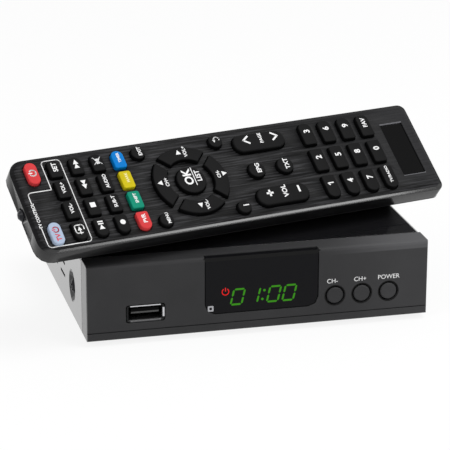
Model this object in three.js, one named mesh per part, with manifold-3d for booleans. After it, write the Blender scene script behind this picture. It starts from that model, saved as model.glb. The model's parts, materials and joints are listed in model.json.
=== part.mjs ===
// Digital terrestrial television receiver with its infrared remote control.
// Millimetres, +Z up, +X to the right seen from the front, +Y towards the back.
// The origin is the middle of the footprint, on the surface that the feet stand on.

import * as THREE from 'three';
import { mergeVertices } from 'three/addons/utils/BufferGeometryUtils.js';
import Module from 'manifold-3d';

const wasm = await Module();
wasm.setup();

// Fits shared by all pieces
const clearance = 0.3; // gap between pieces that touch
const overrun = 1; // how far a cutting tool runs past a face
const embed = 0.2; // how far a joined detail starts inside the piece that it grows from
const cornerSteps = 2;
const roundSides = 16;
const smallSides = 10; // screws, feet and other small turned pieces
const barrelSides = 12; // barrels of sockets, and cells
const slotSteps = 1; // corners of narrow slots and of the square keys

// Housing of the receiver
const housing = { width: 130, depth: 95, height: 29, sheet: 1, cornerRadius: 1.2 };
const foot = { radius: 5, height: 1.8, inset: 12, dish: 0.4, rim: 1.2 };
const panel = {
  depth: 10, wall: 2, rim: 1.6, topRadius: 1.2, sideRadius: 0.6, lipHeight: 3, seam: 0.35, seamDepth: 0.5,
  postRadius: 2,
};
const lens = {
  acrossShare: 0.006, widthShare: 0.33, bottom: 7, radius: 3.6, recess: 0.2, thickness: 1.6, ledge: 1.2,
  ledgeThickness: 1, slotDepth: 3.4,
};
const display = { leftShare: -0.27, rightShare: 0.364, up: 12.9, height: 11 };
const lamp = { up: 15.2, radius: 1.2, rim: 0.35, rimLength: 0.8 };
const infraredEye = {
  acrossShare: -0.436, up: 9, width: 5, height: 5, depth: 3.6, domeRadius: 1.8, domeReach: 1.4,
};

// Push buttons of the front panel, from left to right
const button = {
  names: ['channel_down', 'channel_up', 'power'], firstShare: 0.2223, pitchShare: 0.08, up: 10.3,
  holeRadius: 3.8,
  capRadius: 3.15, proud: 0.3, dish: 0.25, flangeRadius: 4.15, flangeThickness: 0.8, stemRadius: 1.5,
  travel: 0.25, bevel: 0.35,
};
const pushSwitch = { width: 6, height: 5, depth: 3.4, knobRadius: 1.6, knobReach: 1 };

// Front board, main board and what they carry
const frontBoard = { leftShare: -0.2154, rightShare: 0.4615, thickness: 1.2, top: 25.5, cornerRadius: 1 };
const mainBoard = { sideGap: 1.3, rearGap: 3, thickness: 1.6, cornerRadius: 2 };
const usb = {
  acrossShare: -0.3323, up: 9.6, rimWidth: 14.1, rimHeight: 6.3, rimDepth: 0.5, rimRadius: 0.9, width: 13.2,
  height: 5.6, wall: 0.4, depth: 14, tongueWidth: 10.4, tongueThickness: 1.9, tongueFront: 1.4,
  heelDepth: 2.4, tongueLift: 0.7,
};
const boardScrew = { inset: 7, radius: 1.5, headRadius: 2.8, headHeight: 1.8, slot: 0.8, slotDepth: 0.7 };
const standoff = { radius: 3.4 };
const header = {
  acrossShare: 0.169, width: 16, height: 2.6, depth: 5, pinSide: 0.64, pinPitch: 2.54, pins: 6, pinReach: 3,
};
const chip = { acrossShare: 0.092, backShare: 0.463, size: 17, height: 1.6, cornerRadius: 0.6 };
const heatSink = { size: 22, base: 1.6, height: 7, fins: 7, finThickness: 0.9 };
const capacitor = {
  fromScrew: 7.5, radius: 4, height: 11, crimp: 0.4, crimpHeight: 1.6, crimpLevel: 1.4,
};

// Sockets of the rear panel
const aerial = {
  middleShare: -0.3323, pitch: 18, barrelRadius: 4.7, bore: 4.05, reach: 9, flangeRadius: 6.4,
  flangeThickness: 1.6,
  boreDepth: 8, coreRadius: 2.4, coreHole: 1.2, pinRadius: 1.2, pinShort: 1.5, seat: 0.6,
};
const tuner = { depth: 14, width: 31.6, height: 15, rib: 1.2, ribStep: 0.5 };
const videoSocket = {
  acrossShare: -0.1108, width: 15, height: 5.6, wall: 0.6, depth: 11.5, chamfer: 1.9, chamferRise: 2.2,
  tongueWidth: 11, tongueThickness: 1.2, tongueShort: 1.2, heelDepth: 2,
};
const scart = {
  acrossShare: 0.1777, width: 46, height: 14.5, depth: 14, shellWall: 1, moat: 1.7, moatDepth: 8.5, slant: 5,
  cornerRadius: 0.8, slotWidth: 1, slotHeight: 3, slotDepth: 5, slotRows: 2, slotCount: 10, slotPitch: 3.7,
  slotRowPitch: 5,
};
const inlet = {
  acrossShare: 0.4392, width: 9, height: 10.6, depth: 13, hole: 3.1, holeDepth: 9.5, pinRadius: 1,
  holeUp: 6.2,
};

// Cover and tray details
const dimple = { back: 30, up: 11.5, rimRadius: 6.4, floorRadius: 5, depth: 1.3, backing: 0.6 };
const sideScrew = { radius: 1.5, headRadius: 2.8, headHeight: 1.3, length: 5.2, slot: 0.8, slotDepth: 0.7 };
const sideVents = {
  firstShare: 0.524, pitchShare: 0.168, columns: 3, length: 9.6, height: 1.2, low: 9.9, rowPitch: 4.9,
  rows: 3,
};
const floorVents = {
  firstShare: 0.421, pitchShare: 0.0947, rows: 5, length: 16, width: 2, columnPitchShare: 0.185, columns: 3,
};
const screwTab = { width: 14, height: 19 };
const panelHook = { acrossShare: 0.308, width: 12, reach: 6 };

// Casing of the remote control. Its own frame has X along it, Y across it and Z out of its face.
const remote = {
  length: 170, width: 41.2, thickness: 18, headRadius: 6, tailRadius: 3, edge: 0.9, wall: 1.6,
  topHeight: 6.2, backWidth: 25.2, backWall: 1.5, taperPower: 1.05, taperRings: 3, cornerSteps: 4, lip: 0.9,
  lipRise: 1,
};
const remotePose = { tiltDegrees: 39, turnDegrees: 14.3, restAcross: -4, restBack: 28.8 };
const namePlate = { alongShare: 0.4415, length: 9.8, width: 24, depth: 0.5, cornerRadius: 0.6 };

// Keys of the remote control
const key = {
  proud: 1.5, bevel: 0.4, slack: 0.3, flange: 0.8, flangeReach: 0.6, plunger: 0.4, plungerInset: 0.7,
  travel: 0.8, width: 4.8, length: 7.5, cornerRadius: 0.9, endRadiusShare: 0.48,
};
const upperKeys = { firstShare: -0.4026, pitchShare: 0.0506, columns: 4, rows: 4, rowPitchShare: 0.2221 };
const powerKeys = { alongShare: -0.4547, acrossShare: 0.3204, width: 4.6, length: 9.3, radiusShare: 0.48 };
const arrowPad = { alongShare: -0.1053, inner: 9.3, outer: 14.9, gap: 2.6, okRadius: 5.8, steps: 6 };
const smallKeys = { radius: 2.7, alongShare: 0.0952, acrossShare: 0.368 };
const middleKeys = { alongShare: 0.0939, spread: 6.1, radius: 3.35 };
const rocker = {
  acrossShare: 0.3, length: 21.9, width: 7.9, radiusShare: 0.47, flangeLength: 8, plungerRadius: 2, steps: 3,
};
const numberKeys = {
  firstShare: 0.2182, pitchShare: 0.0504, columns: 4, rowPitchShare: 0.2995, length: 10, width: 5.4,
};

// Inside of the remote control
const mat = { rim: 1.4, headNotch: 7.6 };
const remoteBoard = { thickness: 1.2 };
const beam = { radius: 2.5, domeReach: 1.3, length: 6.6, collar: 0.5, collarLength: 1, noseSteps: 3 };
const battery = { radius: 5.25, length: 44.5, nubRadius: 1.9, nubHeight: 1 };
const contact = {
  thickness: 0.5, spring: 4.8, springRadius: 3.4, springTip: 2.2, springTurns: 3, groove: 0.5,
};
const bay = { fromTail: 13.3, wall: 1.4 };
const batteryDoor = {
  halfWidth: 11.2, thickness: 1.2, railHeight: 0.7, railLift: 0.2, railReach: 0.8, railWall: 0.9,
};
const thumbGrip = { bars: 4, pitch: 2.4, width: 1, length: 9, height: 0.4, fromEdge: 4 };
const innerPost = { radius: 2, alongShare: -0.365, acrossShare: 0.216 };

// Levels and places that follow from the sizes above
const floorUnder = foot.height + clearance;
const floorTop = floorUnder + housing.sheet;
const housingTop = floorUnder + housing.height;
const panelBack = panel.depth;
const bodyFront = panel.depth + clearance;
const lensWidth = lens.widthShare * housing.width;
const lensAcross = lens.acrossShare * housing.width;
const usbAcross = usb.acrossShare * housing.width;
const videoAcross = videoSocket.acrossShare * housing.width;
const scartAcross = scart.acrossShare * housing.width;
const inletAcross = inlet.acrossShare * housing.width;
const chipAcross = chip.acrossShare * housing.width;
const chipBack = chip.backShare * housing.depth;
const displayLeft = display.leftShare * lensWidth;
const boardRight = frontBoard.rightShare * housing.width;
const innerHalfWidth = housing.width / 2 - housing.sheet - clearance;
const boardTop = floorUnder + usb.up - usb.height / 2 - clearance;
const boardUnder = boardTop - mainBoard.thickness;
const boardFront = panel.wall + 2 * clearance + button.flangeThickness + button.travel;
const lensBack = lens.recess + lens.thickness + lens.ledgeThickness;
const frontBoardFace = panelBack - frontBoard.thickness - clearance;
const rearFace = housing.depth;
const rearInner = housing.depth - housing.sheet;
const mainBoardBack = rearInner - mainBoard.rearGap;

function bare(geometry) {
  geometry.deleteAttribute('normal');
  geometry.deleteAttribute('uv');
  return mergeVertices(geometry);
}

function toSolid(geometry) {
  const { position } = geometry.attributes;
  const vertProperties = new Float32Array(position.array);
  const triVerts = new Uint32Array(geometry.index.array);
  return new wasm.Manifold(new wasm.Mesh({ numProp: 3, vertProperties, triVerts }));
}

function toGeometry(solid) {
  const mesh = solid.getMesh();
  const geometry = new THREE.BufferGeometry();
  geometry.setAttribute('position', new THREE.BufferAttribute(mesh.vertProperties, 3));
  geometry.setIndex(new THREE.BufferAttribute(mesh.triVerts, 1));
  return geometry;
}

function join(...pieces) {
  const [first, ...rest] = pieces.map(toSolid);
  return toGeometry(rest.reduce((body, next) => body.add(next), first));
}

function cut(piece, ...tools) {
  return toGeometry(tools.reduce((body, tool) => body.subtract(toSolid(tool)), toSolid(piece)));
}

function common(piece, other) {
  return toGeometry(toSolid(piece).intersect(toSolid(other)));
}

function block(x0, x1, y0, y1, z0, z1) {
  const geometry = new THREE.BoxGeometry(x1 - x0, y1 - y0, z1 - z0);
  geometry.translate((x0 + x1) / 2, (y0 + y1) / 2, (z0 + z1) / 2);
  return bare(geometry);
}

// A block that is as wide to the left as to the right of the place "across"
function centred(across, width, y0, y1, z0, z1) {
  return block(across - width / 2, across + width / 2, y0, y1, z0, z1);
}

// An outline in the plane square to the axis, drawn out from start to end along that axis.
// The outline's axes are x, y for axis z; x, z for axis y; y, z for axis x.
function prism(axis, outline, start, end) {
  const shape = new THREE.Shape(outline);
  const geometry = new THREE.ExtrudeGeometry(shape, { depth: end - start, bevelEnabled: false });
  if (axis === 'z') {
    geometry.translate(0, 0, start);
  } else if (axis === 'y') {
    geometry.rotateX(Math.PI / 2);
    geometry.translate(0, end, 0);
  } else {
    geometry.rotateX(Math.PI / 2);
    geometry.rotateZ(Math.PI / 2);
    geometry.translate(start, 0, 0);
  }
  return bare(geometry);
}

function circle(radius, sides = roundSides) {
  return Array.from({ length: sides }, (_, i) => {
    const angle = (2 * Math.PI * i) / sides;
    return new THREE.Vector2(radius * Math.cos(angle), radius * Math.sin(angle));
  });
}

function rod(axis, radius, start, end, across, up, sides = roundSides) {
  return prism(axis, moved(circle(radius, sides), across, up), start, end);
}

function moved(outline, dx, dy) {
  return outline.map((point) => new THREE.Vector2(point.x + dx, point.y + dy));
}

// A rectangle round its own middle, with one radius at the upper corners and one at the lower
function rounded(width, height, radius, steps = cornerSteps, lowerRadius = radius, lowerSteps = steps) {
  const points = [];
  [[1, 1], [-1, 1], [-1, -1], [1, -1]].forEach(([sideX, sideY], quarter) => {
    const r = sideY > 0 ? radius : lowerRadius;
    const count = sideY > 0 ? steps : lowerSteps;
    for (let i = 0; i <= count; i += 1) {
      const angle = ((quarter + i / count) * Math.PI) / 2;
      const x = sideX * (width / 2 - r) + r * Math.cos(angle);
      const y = sideY * (height / 2 - r) + r * Math.sin(angle);
      points.push(new THREE.Vector2(x, y));
    }
  });
  return points;
}

function polygon(...corners) {
  return corners.map(([x, y]) => new THREE.Vector2(x, y));
}

// A closed skin over outlines of equal point counts, each at its own level, from the lowest up
function loft(rings) {
  const count = rings[0].outline.length;
  const positions = rings.flatMap(({ outline, level }) => outline.flatMap((p) => [p.x, p.y, level]));
  const index = [];
  for (let ring = 0; ring + 1 < rings.length; ring += 1) {
    for (let i = 0; i < count; i += 1) {
      const a = ring * count + i;
      const b = ring * count + ((i + 1) % count);
      index.push(a, b, b + count, a, b + count, a + count);
    }
  }
  const addCap = (ring, facesUp) => {
    const { outline } = rings[ring];
    for (const [i, j, k] of THREE.ShapeUtils.triangulateShape(outline, [])) {
      const turnsLeft = THREE.ShapeUtils.area([outline[i], outline[j], outline[k]]) > 0;
      const face = turnsLeft === facesUp ? [i, j, k] : [i, k, j];
      index.push(...face.map((corner) => ring * count + corner));
    }
  };
  addCap(0, false);
  addCap(rings.length - 1, true);
  const geometry = new THREE.BufferGeometry();
  geometry.setAttribute('position', new THREE.BufferAttribute(new Float32Array(positions), 3));
  geometry.setIndex(index);
  return geometry;
}

// A profile of (radius, height) points that starts and ends on the axis, turned round the Z axis
function turned(profile, sides = roundSides) {
  const geometry = new THREE.LatheGeometry(polygon(...profile), sides);
  geometry.rotateX(Math.PI / 2);
  return bare(geometry);
}

const surfaces = {
  glossBlack: { color: 0x0e0e10, roughness: 0.12, metalness: 0 },
  mattBlack: { color: 0x3e3e40, roughness: 0.55, metalness: 0 },
  smoked: { color: 0x1c1c1e, roughness: 0.08, metalness: 0 },
  rubber: { color: 0x202022, roughness: 0.8, metalness: 0 },
  plated: { color: 0xc9c9cc, roughness: 0.25, metalness: 1 },
  zinc: { color: 0x9a9ca0, roughness: 0.45, metalness: 1 },
  steel: { color: 0x2a2a2c, roughness: 0.4, metalness: 0.6 },
  board: { color: 0x1d5a38, roughness: 0.5, metalness: 0 },
  package: { color: 0x18181a, roughness: 0.6, metalness: 0 },
  ivory: { color: 0xd8d4c8, roughness: 0.5, metalness: 0 },
  redLens: { color: 0xdc2828, roughness: 0.2, metalness: 0 },
  clearBlue: { color: 0x8fa0c8, roughness: 0.1, metalness: 0 },
  sleeve: { color: 0x3c6ea8, roughness: 0.35, metalness: 0.2 },
  keyRubber: { color: 0x1a1a1c, roughness: 0.65, metalness: 0 },
  keyRed: { color: 0xe2423f, roughness: 0.55, metalness: 0 },
  keyPale: { color: 0xb9c8e1, roughness: 0.55, metalness: 0 },
  keyBlue: { color: 0x0082d7, roughness: 0.55, metalness: 0 },
  keyYellow: { color: 0xf0dc14, roughness: 0.55, metalness: 0 },
  keyGreen: { color: 0x0a9678, roughness: 0.55, metalness: 0 },
};

function piece(name, geometry, surface) {
  const material = new THREE.MeshStandardMaterial({ ...surfaces[surface], flatShading: true });
  const mesh = new THREE.Mesh(geometry, material);
  mesh.name = name;
  return mesh;
}

// The front panel: a shell with rounded top edge and corners, a seam round its lower lip,
// and openings for the window, the socket and the buttons
function frontPanel() {
  const { topRadius, lipHeight, seam, seamDepth, sideRadius } = panel;
  const seamLow = floorUnder + lipHeight;
  const seamHigh = seamLow + seam;
  const topArc = Array.from({ length: cornerSteps + 1 }, (_, i) => {
    const angle = ((i / cornerSteps) * Math.PI) / 2;
    return [topRadius - topRadius * Math.sin(angle), housingTop - topRadius + topRadius * Math.cos(angle)];
  });
  const profile = polygon(
    [sideRadius, floorUnder], [panelBack, floorUnder], [panelBack, housingTop], ...topArc,
    [0, seamHigh], [seamDepth, seamHigh], [seamDepth, seamLow], [0, seamLow], [0, floorUnder + sideRadius],
  );
  const halfWidth = housing.width / 2;
  const plan = moved(rounded(housing.width, 2 * panelBack, sideRadius), 0, panelBack);
  const outer = common(prism('x', profile, -halfWidth, halfWidth), prism('z', plan, 0, housingTop + overrun));
  const hollow = block(
    -halfWidth + panel.rim, halfWidth - panel.rim, panel.wall, panelBack + overrun,
    floorUnder + panel.rim, housingTop - panel.rim,
  );
  const lensHole = prism('y', lensOutline(clearance, overrun), -overrun, panel.wall + overrun);
  const slot = centred(
    lensAcross, lensWidth + 2 * clearance, -overrun, lens.slotDepth, housingTop - panel.rim - overrun,
    housingTop + overrun,
  );
  const socketHole = prism(
    'y', moved(
      rounded(usb.rimWidth + 2 * clearance, usb.rimHeight + 2 * clearance, usb.rimRadius),
      usbAcross, floorUnder + usb.up,
    ), -overrun, panel.wall + overrun,
  );
  const buttonHoles = button.names.map((_, i) => rod(
    'y', button.holeRadius, -overrun, panel.wall + overrun, buttonAcross(i), floorUnder + button.up,
  ));
  const posts = postPlaces().map((across) => rod(
    'y', panel.postRadius, panel.wall - embed, frontBoardFace - clearance, across, postLevel(),
  ));
  return cut(join(cut(outer, hollow), ...posts), lensHole, slot, socketHole, ...buttonHoles);
}

// The window's outline: square top corners that run out over the panel's edge, round lower ones
function lensOutline(grow, rise) {
  const bottom = floorUnder + lens.bottom - grow;
  const top = housingTop + rise;
  const radius = lens.radius + grow;
  const outline = rounded(lensWidth + 2 * grow, top - bottom, grow + embed, cornerSteps, radius);
  return moved(outline, lensAcross, (top + bottom) / 2);
}

function buttonAcross(i) {
  return (button.firstShare + i * button.pitchShare) * housing.width;
}

function postPlaces() {
  const reach = lensWidth / 2 + lens.ledge + panel.postRadius + clearance;
  const lastPost = boardRight - panel.postRadius;
  return [lensAcross - reach, lensAcross + reach, lastPost];
}

function postLevel() {
  return floorUnder + frontBoard.top - 2 * panel.postRadius;
}

function displayWindow() {
  const plate = prism('y', lensOutline(0, -lens.recess), lens.recess, lensBack);
  const bottom = floorUnder + lens.bottom - lens.ledge;
  const top = housingTop - panel.rim - clearance;
  const ledgeOutline = moved(
    rounded(lensWidth + 2 * lens.ledge, top - bottom, lens.ledge, cornerSteps, lens.radius), lensAcross,
    (top + bottom) / 2,
  );
  return join(plate, prism('y', ledgeOutline, panel.wall + clearance, lensBack));
}

function displayModule() {
  const middle = floorUnder + display.up;
  const front = lensBack + clearance;
  return block(
    displayLeft, display.rightShare * lensWidth, front, frontBoardFace - clearance,
    middle - display.height / 2, middle + display.height / 2,
  );
}

// A small lamp lying along Y with a domed front and a rim at its back
function standbyLamp() {
  const across = displayLeft - clearance - lamp.radius;
  const front = lensBack + clearance;
  const back = frontBoardFace - clearance;
  const shoulder = back - front - lamp.radius;
  const profile = [
    [0, 0], [lamp.radius + lamp.rim, 0], [lamp.radius + lamp.rim, lamp.rimLength],
    [lamp.radius, lamp.rimLength], [lamp.radius, shoulder],
    [lamp.radius * Math.SQRT1_2, shoulder + lamp.radius * Math.SQRT1_2], [0, back - front],
  ];
  const body = turned(profile, smallSides);
  body.rotateX(Math.PI / 2);
  body.translate(across - lamp.rim, back, floorUnder + lamp.up);
  return body;
}

function infraredReceiver() {
  const { up, width, height, depth, domeRadius, domeReach } = infraredEye;
  const across = infraredEye.acrossShare * lensWidth;
  const back = frontBoardFace - clearance;
  const middle = floorUnder + up;
  const low = boardTop + clearance;
  const body = centred(across, width, back - depth, back, low, low + height);
  const eye = turned([
    [0, 0], [domeRadius, 0], [domeRadius, embed], [domeRadius / Math.SQRT2, embed + domeReach * Math.SQRT1_2],
    [0, embed + domeReach],
  ], smallSides);
  eye.rotateX(Math.PI / 2);
  eye.translate(across, back - depth + embed, middle);
  return join(body, eye);
}

// Front board standing on the main board, with its upper corners rounded
function frontBoardPlate() {
  const bottom = boardTop + clearance;
  const top = floorUnder + frontBoard.top;
  const left = frontBoard.leftShare * housing.width;
  const outline = moved(
    rounded(boardRight - left, top - bottom, frontBoard.cornerRadius), (left + boardRight) / 2,
    (top + bottom) / 2,
  );
  return prism('y', outline, frontBoardFace, frontBoardFace + frontBoard.thickness);
}

const switchFace = frontBoardFace - clearance - pushSwitch.depth;
const stemEnd = switchFace - pushSwitch.knobReach - clearance;

function pushSwitchBody(i) {
  const across = buttonAcross(i);
  const up = floorUnder + button.up;
  const { width, height, knobRadius, knobReach } = pushSwitch;
  const back = frontBoardFace - clearance;
  const body = centred(across, width, switchFace, back, up - height / 2, up + height / 2);
  return join(body, rod('y', knobRadius, switchFace - knobReach, switchFace + embed, across, up));
}

// A button: dished cap through the panel, a flange behind the panel and a stem to its switch
function buttonPiece(i) {
  const flangeFront = panel.wall + clearance;
  const flangeBack = flangeFront + button.flangeThickness;
  const face = -button.proud;
  const profile = [
    [0, stemEnd], [button.stemRadius, stemEnd], [button.stemRadius, flangeBack],
    [button.flangeRadius, flangeBack], [button.flangeRadius, flangeFront], [button.capRadius, flangeFront],
    [button.capRadius, face + button.bevel], [button.capRadius - button.bevel, face],
    [0, face + button.dish],
  ].map(([radius, back]) => [radius, stemEnd - back]);
  const body = turned(profile);
  body.rotateX(Math.PI / 2);
  body.translate(buttonAcross(i), stemEnd, floorUnder + button.up);
  return body;
}

// The tray: a floor with vents, low side flanges, screw tabs, board standoffs, hooks for the front
// panel, and the rear panel with an opening for each socket
function baseTray() {
  const { sheet } = housing;
  const floor = block(-innerHalfWidth, innerHalfWidth, bodyFront, rearFace, floorUnder, floorTop);
  const rear = block(
    -innerHalfWidth, innerHalfWidth, rearInner, rearFace, floorTop - embed, housingTop - sheet - clearance,
  );
  const added = [rear];
  for (const side of [-1, 1]) {
    added.push(centred(
      side * (innerHalfWidth - sheet / 2), sheet, bodyFront, rearFace - embed, floorTop - embed,
      floorUnder + dimple.up - dimple.rimRadius - dimple.backing - clearance,
    ));
    added.push(centred(
      side * (tabFace() - sheet / 2), sheet, dimple.back - screwTab.width / 2,
      dimple.back + screwTab.width / 2, floorTop - embed, floorTop + screwTab.height,
    ));
    added.push(...panelHookPieces(side * panelHook.acrossShare * housing.width));
  }
  for (const [across, back] of boardScrewPlaces()) {
    const top = boardUnder - clearance;
    added.push(rod('z', standoff.radius, floorTop - embed, top, across, back, smallSides));
  }
  const tools = [...floorVentTools(), ...rearHoles()];
  for (const [across, back] of boardScrewPlaces()) {
    tools.push(rod(
      'z', boardScrew.radius + clearance, floorUnder - overrun, boardUnder, across, back, smallSides,
    ));
  }
  tools.push(rod(
    'x', sideScrew.radius + clearance, -innerHalfWidth, innerHalfWidth, dimple.back, floorUnder + dimple.up,
    smallSides,
  ));
  return cut(join(floor, ...added), ...tools);
}

// Each hook rises from the tray's front edge and reaches over the panel's lower wall
function panelHookPieces(across) {
  const low = floorUnder + panel.rim + clearance;
  const high = low + housing.sheet;
  const riser = centred(
    across, panelHook.width, bodyFront, bodyFront + housing.sheet, floorTop - embed, high,
  );
  const tongue = centred(
    across, panelHook.width, bodyFront - panelHook.reach, bodyFront + embed, low, high,
  );
  return [riser, tongue];
}

// The inner face of the cover's dimple, less a gap, is where the tray's screw tab stands
function tabFace() {
  return housing.width / 2 - dimple.depth - dimple.backing - clearance;
}

// The main board stops short of the screw tabs
function boardHalfWidth() {
  return tabFace() - housing.sheet - mainBoard.sideGap;
}

function boardScrewPlaces() {
  const across = boardHalfWidth() - boardScrew.inset;
  const front = boardFront + 2 * boardScrew.inset + usb.depth / 2;
  const back = mainBoardBack - 3 * boardScrew.inset;
  return [[-across, front], [across, front], [-across, back], [across, back]];
}

function floorVentTools() {
  const tools = [];
  for (let column = 0; column < floorVents.columns; column += 1) {
    const across = (column - (floorVents.columns - 1) / 2) * floorVents.columnPitchShare * housing.width;
    for (let row = 0; row < floorVents.rows; row += 1) {
      const outline = rounded(floorVents.length, floorVents.width, floorVents.width / 2 - embed, slotSteps);
      const back = (floorVents.firstShare + row * floorVents.pitchShare) * housing.depth;
      tools.push(prism('z', moved(outline, across, back), floorUnder - overrun, floorTop + overrun));
    }
  }
  return tools;
}

function rearHoles() {
  const from = rearInner - overrun;
  const to = rearFace + overrun;
  const holes = aerialPlaces().map((across) => rod(
    'y', aerial.barrelRadius + clearance, from, to, across, boardTop + aerialUp(), barrelSides,
  ));
  holes.push(prism('y', videoOutline(clearance), from, to));
  holes.push(centred(
    scartAcross, scart.width + 2 * clearance, from, to, boardTop, boardTop + 2 * clearance + scart.height,
  ));
  holes.push(centred(
    inletAcross, inlet.width + 2 * clearance, from, to, boardTop, boardTop + 2 * clearance + inlet.height,
  ));
  return holes;
}

function aerialPlaces() {
  const middle = aerial.middleShare * housing.width;
  return [middle - aerial.pitch / 2, middle + aerial.pitch / 2];
}

function aerialUp() {
  return clearance + tuner.height / 2;
}

// The cover: a bent sheet with rounded upper edges, side vents, and a dimple for a screw on each side
function topCover() {
  const { width, sheet, cornerRadius } = housing;
  const height = 2 * (housingTop - floorUnder);
  const outer = moved(rounded(width, height, cornerRadius), 0, floorUnder);
  const inner = moved(
    rounded(width - 2 * sheet, height - 2 * sheet, cornerRadius - sheet + embed), 0, floorUnder,
  );
  const halfSpace = block(-width, width, 0, rearFace + overrun, -height, floorUnder);
  const hollow = prism('y', inner, 0, rearFace + overrun);
  const shell = cut(prism('y', outer, bodyFront, rearFace), hollow, halfSpace);
  const level = floorUnder + dimple.up;
  const added = [];
  const tools = [];
  for (const side of [-1, 1]) {
    const face = (side * width) / 2;
    const backing = face - side * (dimple.depth + dimple.backing);
    const [low, high] = [backing, face - side * embed].sort((a, b) => a - b);
    added.push(rod('x', dimple.rimRadius + dimple.backing, low, high, dimple.back, level));
    tools.push(dimpleCone(side, face, level));
  }
  tools.push(rod('x', sideScrew.radius + clearance, -width, width, dimple.back, level, smallSides));
  for (let column = 0; column < sideVents.columns; column += 1) {
    for (let row = 0; row < sideVents.rows; row += 1) {
      const outline = rounded(sideVents.length, sideVents.height, sideVents.height / 2 - embed, slotSteps);
      const back = (sideVents.firstShare + column * sideVents.pitchShare) * housing.depth;
      const up = floorUnder + sideVents.low + row * sideVents.rowPitch;
      tools.push(prism('x', moved(outline, back, up), -width, width));
    }
  }
  return cut(join(shell, ...added), ...tools);
}

function dimpleCone(side, face, level) {
  const { rimRadius, floorRadius, depth } = dimple;
  const flare = ((rimRadius - floorRadius) * overrun) / depth;
  const cone = turned([[0, 0], [floorRadius, 0], [rimRadius + flare, depth + overrun], [0, depth + overrun]]);
  cone.rotateY((side * Math.PI) / 2);
  cone.translate(face - side * depth, dimple.back, level);
  return cone;
}

// A pan-head screw along Z: head up from zero, shank down, with a cross slot
function screw(sizes, length, slotDirections) {
  const { radius, headRadius, headHeight, slot, slotDepth } = sizes;
  const body = turned([
    [0, -length], [radius, -length], [radius, 0], [headRadius, 0], [headRadius, headHeight / 2],
    [headRadius * Math.SQRT1_2, headHeight], [0, headHeight],
  ], smallSides);
  const slots = slotDirections.map((angle) => {
    const bar = block(-headRadius * Math.SQRT1_2, headRadius * Math.SQRT1_2, -slot / 2, slot / 2,
      headHeight - slotDepth, headHeight + overrun);
    bar.rotateZ(angle);
    return bar;
  });
  return cut(body, ...slots);
}

const crossSlots = [Math.PI / 4, -Math.PI / 4];

function sideScrewPiece(side) {
  const body = screw(sideScrew, sideScrew.length, crossSlots);
  body.rotateY((side * Math.PI) / 2);
  const seat = housing.width / 2 - dimple.depth + clearance;
  body.translate(side * seat, dimple.back, floorUnder + dimple.up);
  return body;
}

function boardScrewPiece([across, back]) {
  const length = boardTop - floorTop;
  const body = screw(boardScrew, length, [0]);
  body.translate(across, back, boardTop + clearance);
  return body;
}

// A foot with a shallow dish under it
function footPiece(across, back) {
  const { radius, height, dish, rim } = foot;
  const body = turned([
    [0, dish], [radius - rim - dish, dish], [radius - rim, 0], [radius - dish, 0], [radius, dish],
    [radius, height], [0, height],
  ], smallSides);
  body.translate(across, back, 0);
  return body;
}

function mainBoardPlate() {
  const length = mainBoardBack - boardFront;
  const outline = moved(
    rounded(2 * boardHalfWidth(), length, mainBoard.cornerRadius), 0, (boardFront + mainBoardBack) / 2,
  );
  const holes = boardScrewPlaces().map(([across, depth]) => rod(
    'z', boardScrew.radius + clearance, boardUnder - overrun, boardTop + overrun, across, depth, smallSides,
  ));
  return cut(prism('z', outline, boardUnder, boardTop), ...holes);
}

// The socket's shell: a folded metal tube with a wider rim at its mouth, open at both ends
function usbShell() {
  const level = floorUnder + usb.up;
  const place = (outline) => moved(outline, usbAcross, level);
  const radius = usb.wall + embed;
  const tube = prism('y', place(rounded(usb.width, usb.height, radius)), 0, usb.depth);
  const rim = prism('y', place(rounded(usb.rimWidth, usb.rimHeight, usb.rimRadius)), 0, usb.rimDepth);
  const boreOutline = rounded(usb.width - 2 * usb.wall, usb.height - 2 * usb.wall, embed);
  const bore = prism('y', place(boreOutline), -overrun, usb.depth + overrun);
  const mouthFlare = loft([
    { outline: boreOutline, level: -usb.rimDepth },
    { outline: rounded(usb.rimWidth - usb.wall, usb.rimHeight - usb.wall, embed), level: embed },
  ]);
  mouthFlare.rotateX(Math.PI / 2);
  mouthFlare.translate(usbAcross, 0, level);
  return cut(join(tube, rim), bore, mouthFlare);
}

// The socket's tongue, in the upper half of the mouth, on a heel that closes the shell's back
function usbTongue() {
  const level = floorUnder + usb.up;
  const innerWidth = usb.width - 2 * usb.wall - 2 * clearance;
  const innerHeight = usb.height - 2 * usb.wall - 2 * clearance;
  const heelFront = usb.depth - usb.heelDepth;
  const heel = centred(
    usbAcross, innerWidth, heelFront, usb.depth, level - innerHeight / 2, level + innerHeight / 2,
  );
  const low = level + usb.tongueLift - usb.tongueThickness / 2;
  const tongue = centred(
    usbAcross, usb.tongueWidth, usb.tongueFront, heelFront + embed, low, low + usb.tongueThickness,
  );
  return join(heel, tongue);
}

// Right-angle header behind the front board, with its row of pins
function headerPiece() {
  const front = frontBoardFace + frontBoard.thickness + clearance;
  const low = boardTop + clearance;
  const across = header.acrossShare * housing.width;
  const body = centred(across, header.width, front, front + header.depth, low, low + header.height);
  const pins = Array.from({ length: header.pins }, (_, i) => centred(
    across + (i - (header.pins - 1) / 2) * header.pinPitch, header.pinSide,
    front + header.depth / 2, front + header.depth / 2 + header.pinSide,
    low + header.height - embed, low + header.height + header.pinReach,
  ));
  return join(body, ...pins);
}

function systemChip() {
  const low = boardTop + clearance;
  const outline = moved(rounded(chip.size, chip.size, chip.cornerRadius), chipAcross, chipBack);
  return prism('z', outline, low, low + chip.height);
}

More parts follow.
